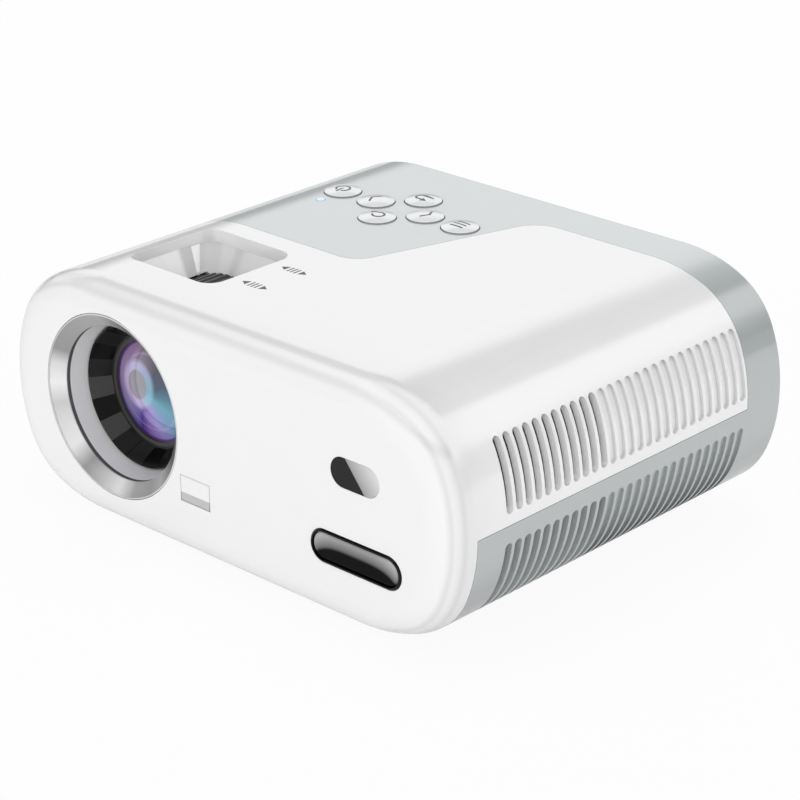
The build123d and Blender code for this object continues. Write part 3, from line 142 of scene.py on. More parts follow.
def ramp(tree, value, steps, low=0.0, high=1.0):
    """Reads a value through a row of (place, colour) steps, with places from low to high."""
    node = tree.nodes.new("ShaderNodeValToRGB")
    stops = node.color_ramp.elements
    pairs = [((place - low) / (high - low), color) for place, color in steps]
    for stop, (place, color) in zip(stops, (pairs[0], pairs[-1])):
        stop.position, stop.color = place, color
    for place, color in pairs[1:-1]:
        stops.new(place).color = color
    link(tree, value, node.inputs["Fac"])
    return node.outputs["Color"]


def grey(value):
    return (value, value, value, 1)


def mapped(tree, value, low, high, to_low=0.0, to_high=1.0, smooth=False):
    """Maps a value from one range to another and clamps it there."""
    node = tree.nodes.new("ShaderNodeMapRange")
    if smooth:
        node.interpolation_type = "SMOOTHSTEP"
    for socket, number in zip(("From Min", "From Max", "To Min", "To Max"),
                              (low, high, to_low, to_high)):
        node.inputs[socket].default_value = number
    link(tree, value, node.inputs["Value"])
    return node.outputs["Result"]


def mixed(tree, share, below, above):
    """Goes from one colour to another by a share. Each is a socket or a colour."""
    node = tree.nodes.new("ShaderNodeMix")
    node.data_type = "RGBA"
    link(tree, share, node.inputs[0])
    for socket, color in ((6, below), (7, above)):
        if isinstance(color, tuple):
            node.inputs[socket].default_value = color
        else:
            link(tree, color, node.inputs[socket])
    return node.outputs[2]


def math_node(tree, operation, *values):
    """One math step on sockets or numbers."""
    node = tree.nodes.new("ShaderNodeMath")
    node.operation = operation
    for socket, value in zip(node.inputs, values):
        if isinstance(value, (int, float)):
            socket.default_value = value
        else:
            link(tree, value, socket)
    return node.outputs[0]


def blended(tree, share, below, above):
    """Goes from one shader to another by a share."""
    mix = tree.nodes.new("ShaderNodeMixShader")
    for socket, output in zip(mix.inputs, (share, below, above)):
        link(tree, output, socket)
    return mix.outputs[0]


print("node helpers ready")

# %% [markdown]
# Only reflections read the bands, and matt surfaces get one even level, so that slots and hollows
# stay as pale as they are in a tent. Light Path's outputs tell the two apart. Camera rays see plain
# white behind the object, and the colours are shown as they are written.

# %% Light the studio with a banded world
bpy.context.scene.view_settings.view_transform = "Standard"


def banded_world():
    world = bpy.data.worlds.new("studio")
    bpy.context.scene.world = world
    world.use_nodes = True
    tree = world.node_tree
    tree.nodes.clear()
    add = tree.nodes.new
    split = add("ShaderNodeSeparateXYZ")
    link(tree, add("ShaderNodeTexCoord").outputs["Generated"], split.inputs[0])
    height = mapped(tree, split.outputs["Z"], -1, 1)
    front, rear_left, rear_right = [
        ramp(tree, height, [(place, grey(level)) for place, level in bands], -1, 1)
        for bands in (front_bands, rear_left_bands, rear_right_bands)
    ]
    aside = mapped(tree, split.outputs["X"], left_end, right_start, smooth=True)
    behind = mapped(tree, split.outputs["Y"], front_end, rear_start, smooth=True)
    rear = mixed(tree, aside, rear_left, rear_right)
    bands, even, plain = [add("ShaderNodeBackground") for _ in range(3)]
    link(tree, mixed(tree, behind, front, rear), bands.inputs["Color"])
    even.inputs["Color"].default_value = grey(even_level)
    plain.inputs["Color"].default_value = plain_white
    paths = add("ShaderNodeLightPath").outputs
    lit = blended(tree, paths["Is Glossy Ray"], even.outputs[0], bands.outputs[0])
    seen = math_node(tree, "MAXIMUM", paths["Is Camera Ray"], paths["Is Transmission Ray"])
    link(tree, blended(tree, seen, lit, plain.outputs[0]),
         add("ShaderNodeOutputWorld").inputs["Surface"])


banded_world()
print("world made with three sets of bands and an even level of", even_level)

# %% [markdown]
# Softboxes add direction. The main one stands off the front right corner, so it reaches the front,
# the right side and the far wall of every vent slot. Two weak ones even out the front and the right
# side, one hangs above for the top and the finger well, and one fills the back. A softbox is a
# large area lamp with soft shadows. Each is aimed at the middle of the case and kept out of
# reflections, which the bands already shape.

# %% Hang the softboxes
case_middle = Vector((0, 0, 42)) * mm


def softbox(name, place, width, height, watts):
    data = bpy.data.lights.new(name, "AREA")
    data.shape = "RECTANGLE"
    data.size = width
    data.size_y = height
    data.energy = watts
    lamp = bpy.data.objects.new(name, data)
    bpy.context.scene.collection.objects.link(lamp)
    lamp.location = place
    lamp.rotation_euler = (case_middle - lamp.location).to_track_quat("-Z", "Y").to_euler()
    lamp.visible_glossy = False


softbox("corner_softbox", Vector((1.8, -1.8, 0.75)), 2.1, 1.2, 15)
softbox("front_softbox", Vector((-0.6, -2.2, 0.5)), 1.4, 0.8, 10)
softbox("right_softbox", Vector((2.2, 0.3, 0.5)), 1.4, 0.8, 5)
softbox("top_softbox", Vector((0.1, 0.2, 1.6)), 1.2, 1.0, 6)
softbox("rear_softbox", Vector((-1.0, 1.1, 0.5)), 1.2, 0.8, 5)

# %% [markdown]
# The object stands on a pale sheet that curves away out of sight. A flat mesh does the same job
# here, because the camera looks down on it. Its colour is lifted towards white for the camera and
# through glass, and what is left of the plain surface keeps the soft shadow under the case. In
# reflections it is a softer grey, which draws the roundings along the foot of the case.

# %% Lay the floor
floor_size = 6.0
floor_lift = 0.93                      # how much of the floor the camera sees as plain white
paper_level = 0.93
gloss_level, gloss_share = 0.8, 0.7    # the grey in reflections, and how much of it shows


def floor_sheet():
    mesh = bpy.data.meshes.new("floor")
    half = floor_size / 2
    corners = [(-half, -half, 0), (half, -half, 0), (half, half, 0), (-half, half, 0)]
    mesh.from_pydata(corners, [], [(0, 1, 2, 3)])
    floor = bpy.data.objects.new("floor", mesh)
    bpy.context.scene.collection.objects.link(floor)
    material = bpy.data.materials.new("floor_paper")
    material.use_nodes = True
    tree = material.node_tree
    tree.nodes.clear()
    add = tree.nodes.new
    paper = add("ShaderNodeBsdfDiffuse")
    paper.inputs["Color"].default_value = grey(paper_level)
    white, shown = add("ShaderNodeEmission"), add("ShaderNodeEmission")
    white.inputs["Color"].default_value = plain_white
    shown.inputs["Color"].default_value = grey(gloss_level)
    paths = add("ShaderNodeLightPath").outputs
    seen = math_node(tree, "MAXIMUM", paths["Is Camera Ray"], paths["Is Transmission Ray"])
    shares = (math_node(tree, "MULTIPLY", seen, floor_lift),
              math_node(tree, "MULTIPLY", paths["Is Glossy Ray"], gloss_share))
    sheet = blended(tree, shares[0], paper.outputs[0], white.outputs[0])
    link(tree, blended(tree, shares[1], sheet, shown.outputs[0]),
         add("ShaderNodeOutputMaterial").inputs["Surface"])
    mesh.materials.append(material)


floor_sheet()
print("floor laid,", floor_size, "m square")

# %% [markdown]
# Every finish starts from one recipe: a colour that varies a little, a roughness that varies with
# it, and a fine grain in the bump. Real moulded plastic shows all three when light grazes it.
# The patterns read object coordinates, which are metres here, so a scale of 2000 is half a
# millimetre of grain wherever the piece is.

# %% Make the base finish
tint_half_width = 0.2                  # of the noise's range, on each side of its middle
wear_low, wear_high = 0.85, 1.15       # times the roughness
grain_height = 0.02 * mm


def finish(name, color, roughness, metallic=0.0, spread=0.02, grain=1800, bump=0.05,
           patch=60, **sockets):
    """A material with mottled colour, mottled roughness and a fine grain."""
    material = bpy.data.materials.new(name)
    material.use_nodes = True
    tree = material.node_tree
    shader = tree.nodes["Principled BSDF"]
    shader.inputs["Metallic"].default_value = metallic
    for socket, value in sockets.items():
        shader.inputs[socket.replace("_", " ")].default_value = value
    add = tree.nodes.new
    place = add("ShaderNodeTexCoord").outputs["Object"]
    mottle = add("ShaderNodeTexNoise")
    mottle.inputs["Scale"].default_value = patch
    mottle.inputs["Detail"].default_value = 4
    link(tree, place, mottle.inputs["Vector"])
    tint = add("ShaderNodeValToRGB")
    for stop, side in zip(tint.color_ramp.elements, (-1, 1)):
        stop.position = 0.5 + tint_half_width * side
        stop.color = [min(1, max(0, c * (1 + side * spread))) for c in color] + [1]
    link(tree, mottle.outputs["Fac"], tint.inputs["Fac"])
    link(tree, tint.outputs["Color"], shader.inputs["Base Color"])
    wear = add("ShaderNodeMapRange")
    wear.inputs["To Min"].default_value = roughness * wear_low
    wear.inputs["To Max"].default_value = min(1, roughness * wear_high)
    link(tree, mottle.outputs["Fac"], wear.inputs["Value"])
    link(tree, wear.outputs["Result"], shader.inputs["Roughness"])
    speck = add("ShaderNodeTexNoise")
    speck.inputs["Scale"].default_value = grain
    speck.inputs["Detail"].default_value = 2
    link(tree, place, speck.inputs["Vector"])
    relief = add("ShaderNodeBump")
    relief.inputs["Strength"].default_value = bump
    relief.inputs["Distance"].default_value = grain_height
    link(tree, speck.outputs["Fac"], relief.inputs["Height"])
    link(tree, relief.outputs["Normal"], shader.inputs["Normal"])
    return material


def color_of(material):
    """The output that a material's base colour comes from."""
    return material.node_tree.nodes["Principled BSDF"].inputs["Base Color"].links[0].from_socket


def paint(material, color):
    """Gives a material another output as its base colour."""
    tree = material.node_tree
    link(tree, color, tree.nodes["Principled BSDF"].inputs["Base Color"])


def dress(material, *names):
    """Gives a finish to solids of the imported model."""
    for name in names:
        node = nodes[name]
        node.data.materials.clear()
        node.data.materials.append(material)
        dressed.add(name)


dressed = set()
print("base finish ready, with a grain", grain_height / mm, "mm high")

# %% [markdown]
# The cover is white ABS with a satin gloss, and the housing and keypad panel are a cool grey in
# the same finish. A thin clear coat on the shader gives the soft bands along the roundings, which
# roughness alone would smear away.

# %% Make the shells' finishes
white_plastic = finish("white_plastic", (0.91, 0.91, 0.915), 0.3, spread=0.006, bump=0.02,
                       Coat_Weight=1.0, Coat_Roughness=0.1, Coat_IOR=1.9)
grey_plastic = finish("grey_plastic", (0.42, 0.45, 0.455), 0.3, spread=0.012, bump=0.03,
                      Coat_Weight=1.0, Coat_Roughness=0.12, Coat_IOR=2.3)
print("two shell finishes made, each with a clear coat")

# %% [markdown]
# The keypad panel is painted a shade lighter than the housing, as painted light on the top where
# the lamps fall, and the housing's foot a shade darker, as painted shade, because little light
# reaches it. Separate materials would meet in a hard line. So one grey fades into the next by the
# height on the object.

# %% Shade the housing by height
panel_painted_light = (0.56, 0.60, 0.605, 1)
panel_low, panel_high = 76 * mm, 84.5 * mm
foot_painted_shade = (0.21, 0.23, 0.235, 1)
foot_low, foot_high = 10 * mm, 38 * mm


def places(tree):
    """The object's X, Y and Z."""
    split = tree.nodes.new("ShaderNodeSeparateXYZ")
    link(tree, tree.nodes.new("ShaderNodeTexCoord").outputs["Object"], split.inputs[0])
    return [split.outputs[axis] for axis in "XYZ"]


def shade_by_height(material):
    """Fades from the foot's painted shade to the finish's own grey, and from that to the panel's
    painted light.
    """
    tree = material.node_tree
    height = places(tree)[2]
    lift = mapped(tree, height, foot_low, foot_high, smooth=True)
    body = mixed(tree, lift, foot_painted_shade, color_of(material))
    share = mapped(tree, height, panel_low, panel_high, smooth=True)
    paint(material, mixed(tree, share, body, panel_painted_light))


shade_by_height(grey_plastic)
print("housing shaded from", foot_low / mm, "to", panel_high / mm, "mm")

# %% [markdown]
# The studio's bands show in the gloss along the top's rounding, but hardly on the upright ones,
# which mirror the floor. A lamp for them alone would light everything else too. So there the colour
# carries the same two soft bands as a painted reflection, and along the top only a trace of them.

# %% Shade the front's upright edges
# Painted bands round the front's edge by depth, as Y in millimetres from the front backwards.
painted_edge_bands = (
    (-79.5, 1.0), (-77.4, 1.0), (-76.2, 0.83), (-75.2, 0.94), (-74.2, 0.91), (-72.8, 0.78),
    (-71.4, 0.88), (-68.0, 0.94), (-60.0, 0.98), (-50.0, 1.0),
)
upright_from, upright_to = 0.02, 0.2   # how far sideways an upright rounding faces
top_trace = 0.3


def facing(tree):
    """The direction that the surface faces, as X, Y and Z."""
    split = tree.nodes.new("ShaderNodeSeparateXYZ")
    link(tree, tree.nodes.new("ShaderNodeNewGeometry").outputs["True Normal"], split.inputs[0])
    return [split.outputs[axis] for axis in "XYZ"]


def paint_edge_bands(material):
    """Multiplies the colour by the painted bands, which is a mix that starts from black."""
    tree = material.node_tree
    first, last = painted_edge_bands[0][0], painted_edge_bands[-1][0]
    depth = mapped(tree, places(tree)[1], first * mm, last * mm)
    tones = ramp(tree, depth, [(place, grey(tone)) for place, tone in painted_edge_bands], first, last)
    aside = mapped(tree, math_node(tree, "ABSOLUTE", facing(tree)[0]), upright_from, upright_to,
                   top_trace, 1.0)
    tone = mixed(tree, aside, plain_white, tones)
    paint(material, mixed(tree, tone, grey(0), color_of(material)))


paint_edge_bands(white_plastic)
print("edge toned in", len(painted_edge_bands), "steps")

# %% [markdown]
# A row of slots runs along each side. The front ones are open, and their thin walls are matt and
# let light through, which their colour paints in as a shade lighter. The rear ones are blind
# grooves, with painted shade in them that draws a crisp line. Ambient occlusion finds the closed
# places, and the place on the right side, where the light rakes the row, says which kind of slot it
# is.

# %% Shade the slots and dress the shells
side_low, side_high = 80 * mm, 84 * mm     # along X, where the right side begins
open_start = -57 * mm                      # along Y, where the open slots begin
blind_start = -8.6 * mm                    # and where they give way to blind grooves
groove_reach = 3 * mm
wall_from, wall_to = 0.4, 0.8              # how far a slot's wall faces along Y


def shade_grooves(material, groove_shade_depth, wall_painted_light):
    """Paints shade into the blind grooves, and makes the open slots' walls matt and paints light on
    them, a shade lighter.
    """
    tree = material.node_tree
    near = tree.nodes.new("ShaderNodeAmbientOcclusion")
    near.only_local = True
    near.samples = 6
    near.inputs["Distance"].default_value = groove_reach
    across, along, _ = places(tree)
    side = mapped(tree, across, side_low, side_high)
    blind = mapped(tree, along, blind_start - mm, blind_start + mm)
    closed = math_node(tree, "SUBTRACT", 1.0, near.outputs["AO"])
    groove_shade = math_node(tree, "MULTIPLY", math_node(tree, "MULTIPLY", closed, groove_shade_depth),
                     math_node(tree, "MULTIPLY", side, blind))
    sideways = mapped(tree, math_node(tree, "ABSOLUTE", facing(tree)[1]), wall_from, wall_to)
    slots = math_node(tree, "SUBTRACT", mapped(tree, along, open_start - mm, open_start), blind)
    open_wall = math_node(tree, "MULTIPLY", sideways, math_node(tree, "MULTIPLY", side, slots))
    groove_shaded = mixed(tree, groove_shade, color_of(material), grey(0))
    paint(material, mixed(tree, open_wall, groove_shaded, wall_painted_light))
    link(tree, math_node(tree, "SUBTRACT", 1.0, open_wall),
         tree.nodes["Principled BSDF"].inputs["Coat Weight"])


# Each shell gets painted shade in its blind grooves and painted light on its open slots' walls.
shade_grooves(grey_plastic, 0.2, (0.49, 0.52, 0.525, 1))
shade_grooves(white_plastic, 0.4, grey(0.99))
dress(white_plastic, "cover")
dress(grey_plastic, "housing")
print("shells dressed")

# %% [markdown]
# The funnel in the finger well is a lighter grey moulding, folded from flat panels that catch the
# light one after another. A lamp small enough to reach into the well would leave a spot beside it,
# so the panels' light and shade are painted into the colour by the angle round the well's middle.

# %% Dress the funnel
light_grey = finish("light_grey_plastic", (0.84, 0.85, 0.86), 0.38, spread=0.02)
well_middle = Vector((-47.3, -37.7, 0)) * mm

# Painted light and shade of the funnel's folds, by the angle round the well's middle, in degrees
# from +X.
fold_light_and_shade = (
    (-180, 0.90), (0, 0.85), (70, 0.84), (94, 0.80), (102, 0.68), (106, 0.68), (110, 0.78),
    (120, 0.80), (128, 0.68), (146, 0.58), (157, 0.62), (162, 0.92), (180, 0.92),
)


def shade_folds(material):
    """Paints light and shade on the funnel by the angle round the well's middle."""
    tree = material.node_tree
    x, y, _ = places(tree)
    turn = math_node(tree, "ARCTAN2", math_node(tree, "SUBTRACT", y, well_middle.y),
                     math_node(tree, "SUBTRACT", x, well_middle.x))
    paint(material, ramp(tree, mapped(tree, turn, -math.pi, math.pi),
                         [(angle, grey(tone)) for angle, tone in fold_light_and_shade], -180, 180))


shade_folds(light_grey)
dress(light_grey, "well_funnel")
print("funnel toned in", len(fold_light_and_shade), "steps")

# %% [markdown]
# The rings that a fingertip turns are dark and satin, as are the lens barrel and two sockets. What
# lies deeper is matt, so that the well and the vents read as deep. None of these needs more than
# the base finish with its own colour, gloss and grain.

# %% Dress the plain mouldings
shroud_grey = finish("shroud_grey_plastic", (0.82, 0.82, 0.82), 0.4, spread=0.02)
black_gloss = finish("black_gloss_plastic", (0.004, 0.004, 0.004), 0.15, spread=0.2,
                     Specular_IOR_Level=0.2)
black_satin = finish("black_satin_plastic", (0.012, 0.012, 0.013), 0.3, spread=0.15, bump=0.1)
retainer_satin = finish("retainer_satin", (0.05, 0.05, 0.048), 0.35, spread=0.2, bump=0.1)
black_matt = finish("black_matt_plastic", (0.02, 0.02, 0.02), 0.7, spread=0.2, bump=0.2)
inner_grey = finish("inner_grey_plastic", (0.09, 0.092, 0.095), 0.6, spread=0.1, bump=0.1)
rubber = finish("rubber", (0.035, 0.035, 0.035), 0.85, spread=0.15, bump=0.4, grain=900)
gasket_grey = finish("gasket_grey_rubber", (0.1, 0.1, 0.1), 0.7, spread=0.1, bump=0.2)
dress(shroud_grey, "lens_shroud")
dress(black_gloss, "name_plate_rim")
dress(black_satin, "lens_barrel", "mains_inlet", "audio_jack", "focus_ring", "keystone_ring")
dress(retainer_satin, "glass_retainers")
dress(black_matt, "keystone_rod", "ring_clips", "fan_rotor", "fan_frame", "speaker",
      "speaker_cone", "mirror_cradle", "focus_pin", "glass_spacer")
dress(inner_grey, "lens_mount", "optical_housing", "optical_lid")
dress(rubber, "rubber_feet")
dress(gasket_grey, "bezel_gasket")
print(len(dressed), "nodes dressed")

# %% [markdown]
# The buttons are glossy domes. Their upright sides stand in their own narrow gap and read as a grey
# rim, darker than the shade there would make them, so the rim is painted shade. A ring round each
# button could draw that, but the direction that the surface faces already tells the rim from the
# top.

# %% Dress the buttons
button_plastic = finish("button_plastic", (0.86, 0.88, 0.89), 0.22, spread=0.01, bump=0.02,
                        Coat_Weight=0.8, Coat_Roughness=0.08)
rim_painted_shade = grey(0.32)
rim_up, top_up = 0.35, 0.9             # how far up the rim faces, and how far the top


# Paints shade on the buttons' upright rims, by the direction that they face.
def paint_rim_shade(material):
    tree = material.node_tree
    share = mapped(tree, facing(tree)[2], rim_up, top_up)
    paint(material, mixed(tree, share, rim_painted_shade, color_of(material)))


paint_rim_shade(button_plastic)
dress(button_plastic, "power_button", "left_button", "right_button", "rear_button",
      "front_button", "menu_button")
print(len(dressed), "nodes dressed")

# %% [markdown]
# Metals take their colour in reflection, so their base colour is their shine. The bezel is turned
# and satin plated: fine rings run around it, which spread each highlight into a fan of light and
# dark sectors. Its own finish comes with the lens, further down.

# %% Dress the metals
steel = finish("steel", (0.55, 0.55, 0.56), 0.35, metallic=1.0, spread=0.05, bump=0.1)
aluminium = finish("aluminium", (0.7, 0.71, 0.72), 0.4, metallic=1.0, spread=0.04, bump=0.1)
brass = finish("brass", (0.7, 0.52, 0.22), 0.35, metallic=1.0, spread=0.06, bump=0.1)
silvered = finish("silvered_glass", (0.9, 0.91, 0.92), 0.02, metallic=1.0, spread=0.002, bump=0)
dress(steel, "case_screws", "small_screws", "usb_socket", "hdmi_socket")
dress(aluminium, "heat_sink")
dress(brass, "tripod_insert")
dress(silvered, "fold_mirror")
print(len(dressed), "nodes dressed")

# %% [markdown]
# The window in front of the remote receiver is smoked plastic, and the small parts inside are
# circuit boards and their components. They show through the vents only as dark shapes, but they
# get their own finishes, because the model is also looked at from other sides.

# %% Dress the electronics
smoked = finish("smoked_plastic", (0.008, 0.008, 0.009), 0.1, spread=0.1, bump=0.0,
                Specular_IOR_Level=0.25)
board_green = finish("board", (0.02, 0.09, 0.05), 0.4, spread=0.2, patch=400)
chip_black = finish("chip", (0.02, 0.02, 0.021), 0.55, spread=0.2, bump=0.15)
phosphor = finish("phosphor", (0.9, 0.72, 0.15), 0.35, spread=0.05)
clear_plastic = finish("clear_plastic", (0.9, 0.93, 0.95), 0.06, spread=0.01, bump=0.0,
                       Transmission_Weight=0.85, IOR=1.49)
lens_glass = finish("lens_glass", (0.9, 0.88, 0.98), 0.02, spread=0.01, bump=0.0,
                    Transmission_Weight=1.0, IOR=1.52)
dress(smoked, "receiver_window")
dress(board_green, "main_board", "power_board", "key_board", "led_board")
dress(chip_black, "main_chips", "power_parts", "key_switches", "receiver")
dress(phosphor, "led_emitter")
dress(clear_plastic, "field_fresnel", "rear_fresnel", "heat_glass", "condenser_lens", "lcd_panel")
dress(lens_glass, "middle_glass", "rear_glass")
print(len(dressed), "nodes dressed")

# %% [markdown]
# The front glass carries an anti-reflection coating, and its reflections are where the colours come
# from: violet on one side, blue and cyan on the other, with a paler ring around a grey middle where
# the inner surfaces reflect. Ray-traced thin films need a whole lens of real surfaces, so we paint
# these reflections in the colour, by angle and radius on the glass itself, under a clear coat that
# keeps its highlights.

# %% Paint the coated glass
lens_x = -47.3 * mm
lens_z = 45.8 * mm
glass_radius = 17.6 * mm
reflection_shift = Vector((-4.6, 1.8)) * mm     # of the inner surfaces' painted reflection from the axis
pupil_grey = (0.30, 0.28, 0.31, 1)
rim_violet = (0.10, 0.03, 0.22, 1)
arc_lilac = (0.55, 0.48, 0.76, 1)

# Painted reflection colours around the glass, from the right (+X) anticlockwise as seen from the
# front.
outer_hues = (
    (0.00, (0.05, 0.20, 0.30)), (0.08, (0.03, 0.07, 0.14)), (0.18, (0.05, 0.05, 0.10)),
    (0.26, (0.16, 0.13, 0.17)), (0.34, (0.34, 0.22, 0.40)), (0.45, (0.44, 0.30, 0.55)),
    (0.58, (0.36, 0.30, 0.60)), (0.66, (0.20, 0.16, 0.48)), (0.69, (0.10, 0.05, 0.34)),
    (0.74, (0.30, 0.18, 0.56)), (0.80, (0.36, 0.30, 0.68)), (0.86, (0.18, 0.34, 0.62)),
    (0.93, (0.12, 0.40, 0.52)), (1.00, (0.05, 0.20, 0.30)),
)
ring_hues = (
    (0.00, (0.20, 0.46, 0.58)), (0.15, (0.36, 0.44, 0.66)), (0.30, (0.60, 0.54, 0.82)),
    (0.50, (0.66, 0.58, 0.86)), (0.66, (0.64, 0.44, 0.76)), (0.80, (0.56, 0.50, 0.80)),
    (0.90, (0.26, 0.56, 0.70)), (1.00, (0.20, 0.46, 0.58)),
)

# How strongly each layer shows, by its distance from its middle as a share of the glass's radius.
lilac_arc = ((0, 0), (0.70, 0), (0.74, 0.35), (0.78, 0), (1, 0))
inner_ring = ((0, 0.9), (0.40, 0.9), (0.50, 0), (1, 0))
grey_pupil = ((0, 0.9), (0.26, 0.9), (0.30, 0), (1, 0))
dark_rim = ((0, 0), (0.93, 0), (0.96, 0.8), (1, 0.9))


def round_a_spot(tree, x, z):
    """The radius in metres and the turn, from 0 to 1, round a spot on the front."""
    x_place, _, z_place = places(tree)
    across = math_node(tree, "SUBTRACT", x_place, x)
    upward = math_node(tree, "SUBTRACT", z_place, z)
    radius = math_node(tree, "SQRT", math_node(
        tree, "ADD", math_node(tree, "POWER", across, 2), math_node(tree, "POWER", upward, 2)))
    turn = math_node(tree, "FRACT", math_node(
        tree, "DIVIDE", math_node(tree, "ARCTAN2", upward, across), 2 * math.pi))
    return radius, turn


def coated_glass():
    material = finish("coated_glass", (0.3, 0.2, 0.5), 0.05, spread=0.05, bump=0.0,
                      Coat_Weight=1.0, Coat_Roughness=0.02, Coat_IOR=1.55)
    tree = material.node_tree
    radius, turn = round_a_spot(tree, lens_x, lens_z)
    inner_radius, inner_turn = round_a_spot(tree, lens_x + reflection_shift.x, lens_z + reflection_shift.y)
    outer, ring = [ramp(tree, around, [(place, (*hue, 1)) for place, hue in hues])
                   for around, hues in ((turn, outer_hues), (inner_turn, ring_hues))]

    def weight(reach, layer):
        return ramp(tree, math_node(tree, "DIVIDE", reach, glass_radius),
                    [(place, grey(level)) for place, level in layer])

    color = mixed(tree, weight(radius, lilac_arc), outer, arc_lilac)
    color = mixed(tree, weight(inner_radius, inner_ring), color, ring)
    color = mixed(tree, weight(inner_radius, grey_pupil), color, pupil_grey)
    paint(material, mixed(tree, weight(radius, dark_rim), color, rim_violet))
    return material


dress(coated_glass(), "front_glass")
print("glass painted with", len(outer_hues) + len(ring_hues), "hues")

# %% [markdown]
# The faceted hood is gloss black, and each facet reflects one patch of the studio: most stay black
# and a few turn grey. So its colour steps from facet to facet as a painted reflection, counted from
# +X anticlockwise.

# %% Tone the hood's facets
facet_count = 20
facet_black = 0.003
facet_reflection_tones = {6: 0.010, 7: 0.018, 9: 0.014, 10: 0.060, 12: 0.052, 14: 0.014, 16: 0.012}


def faceted_hood():
    material = finish("hood_black", (0.004, 0.004, 0.004), 0.12, spread=0.2, bump=0.0,
                      Specular_IOR_Level=0.15)
    tree = material.node_tree
    turn = round_a_spot(tree, lens_x, lens_z)[1]
    tones = ramp(tree, turn, [(k / facet_count, grey(facet_reflection_tones.get(k, facet_black)))
                              for k in range(facet_count)])
    tones.node.color_ramp.interpolation = "CONSTANT"
    paint(material, tones)
    return material


dress(faceted_hood(), "lens_hood")
print("hood toned with", len(facet_reflection_tones), "lighter facets")

# %% [markdown]
# The turned bezel throws light back in a fan: each sector is as bright as what it faces. Shader
# anisotropy alone gives only part of this, because the grooves are far finer than a pixel. So the
# metal's colour carries the fan as a painted reflection, in soft steps around the lens, with a
# painted highlight on its outer lip, and the fine rings are a wave in the bump that runs with the
# radius.

# %% Turn the bezel
fan_reflection_steps = (
    (0.00, 0.15), (0.05, 0.32), (0.12, 0.19), (0.17, 0.33), (0.21, 0.15), (0.28, 0.48),
    (0.43, 0.36), (0.46, 0.82), (0.50, 1.00), (0.54, 0.70), (0.62, 1.00), (0.665, 0.40),
    (0.75, 1.00), (0.79, 0.46), (0.84, 0.38), (0.875, 0.50), (0.93, 0.13), (1.00, 0.13),
)
lip_start, lip_end = 30.5 * mm, 30.8 * mm
lip_highlight = grey(0.8)
ring_pitch, ring_height = 0.12 * mm, 0.01 * mm
ring_strength = 0.15


def turned_satin():
    material = finish("satin_chrome", (0.7, 0.7, 0.71), 0.42, metallic=0.45, spread=0.02,
                      bump=0.02, Anisotropic=0.6)
    tree = material.node_tree
    radius, turn = round_a_spot(tree, lens_x, lens_z)
    fan = ramp(tree, turn, [(place, grey(level)) for place, level in fan_reflection_steps])
    lip = mapped(tree, radius, lip_start, lip_end)
    paint(material, mixed(tree, lip, fan, lip_highlight))
    wave = math_node(tree, "SINE", math_node(tree, "MULTIPLY", radius, 2 * math.pi / ring_pitch))
    rings = tree.nodes.new("ShaderNodeBump")
    rings.inputs["Strength"].default_value = ring_strength
    rings.inputs["Distance"].default_value = ring_height
    link(tree, wave, rings.inputs["Height"])
    link(tree, rings.outputs["Normal"], tree.nodes["Principled BSDF"].inputs["Normal"])
    return material


dress(turned_satin(), "lens_bezel")
print("bezel turned with", len(fan_reflection_steps) - 1, "sectors")

# %% [markdown]
# The status light is a small light guide that glows pale blue. A lamp inside it would light the
# keypad too, so the guide gets a weak glow of its own over a pale blue plastic.

# %% Light the status lamp
status_blue = finish("status_blue", (0.62, 0.78, 0.92), 0.3, spread=0.02, bump=0.0,
                     Emission_Color=(0.6, 0.85, 1.0, 1), Emission_Strength=0.2)
dress(status_blue, "status_light")
print(len(dressed), "nodes dressed")

# %% [markdown]
# The marks on the buttons and on the cover are pad printed: a film of ink that lies on the
# moulding. A texture could draw them, but then the exported mesh would lose them. So each mark is a
# shape of its own. First come its outlines, drawn flat in millimetres: most are lines of even
# width with round ends, along straight runs or arcs.

# %% Draw outlines
mitre_limit = 0.5                      # so that a corner is at most twice as wide as its line


def stroke(points, width, steps=6):
    """The outline of a line of even width with round ends, as one polygon."""
    path = [Vector(p) for p in points]
    half = width / 2
    sides = ([], [])
    for i, p in enumerate(path):
        before = path[i] - path[i - 1] if i else path[1] - path[0]
        after = path[i + 1] - path[i] if i + 1 < len(path) else before
        along = (before.normalized() + after.normalized()).normalized()
        across = Vector((-along.y, along.x))
        spread = half / max(mitre_limit, across.dot(Vector((-after.y, after.x)).normalized()))
        sides[0].append(p + across * spread)
        sides[1].append(p - across * spread)

    def cap(centre, start):
        turned = [Matrix.Rotation(-math.pi * k / steps, 2) @ (start - centre)
                  for k in range(1, steps)]
        return [centre + v for v in turned]

    return (sides[0] + cap(path[-1], sides[0][-1]) + sides[1][::-1]
            + cap(path[0], sides[1][0]))


def arc(centre, radius, start, end, steps=28):
    """Points along an arc, with the angles in degrees."""
    angles = [math.radians(start + (end - start) * k / steps) for k in range(steps + 1)]
    return [(centre[0] + radius * math.cos(a), centre[1] + radius * math.sin(a)) for a in angles]


print("a quarter arc has", len(arc((0, 0), 1, 0, 90)), "points")

# %% [markdown]
# The outlines are filled with small triangles, so that they can bend, and laid onto the surface
# under them by casting a ray from every corner. A flat face on top would flicker against the
# moulding, so the film has a thickness, sunk in by a little more than half, and a closed edge.

# %% Make the tools for printing
ink_lift = 0.04 * mm
ink_sink = 0.06 * mm
ink_step = 0.6                         # in the marks' own millimetres
cast_height = 10 * mm


def surface_of(name):
    mesh = nodes[name].data
    return BVHTree.FromPolygons([v.co for v in mesh.vertices],
                                [p.vertices for p in mesh.polygons])


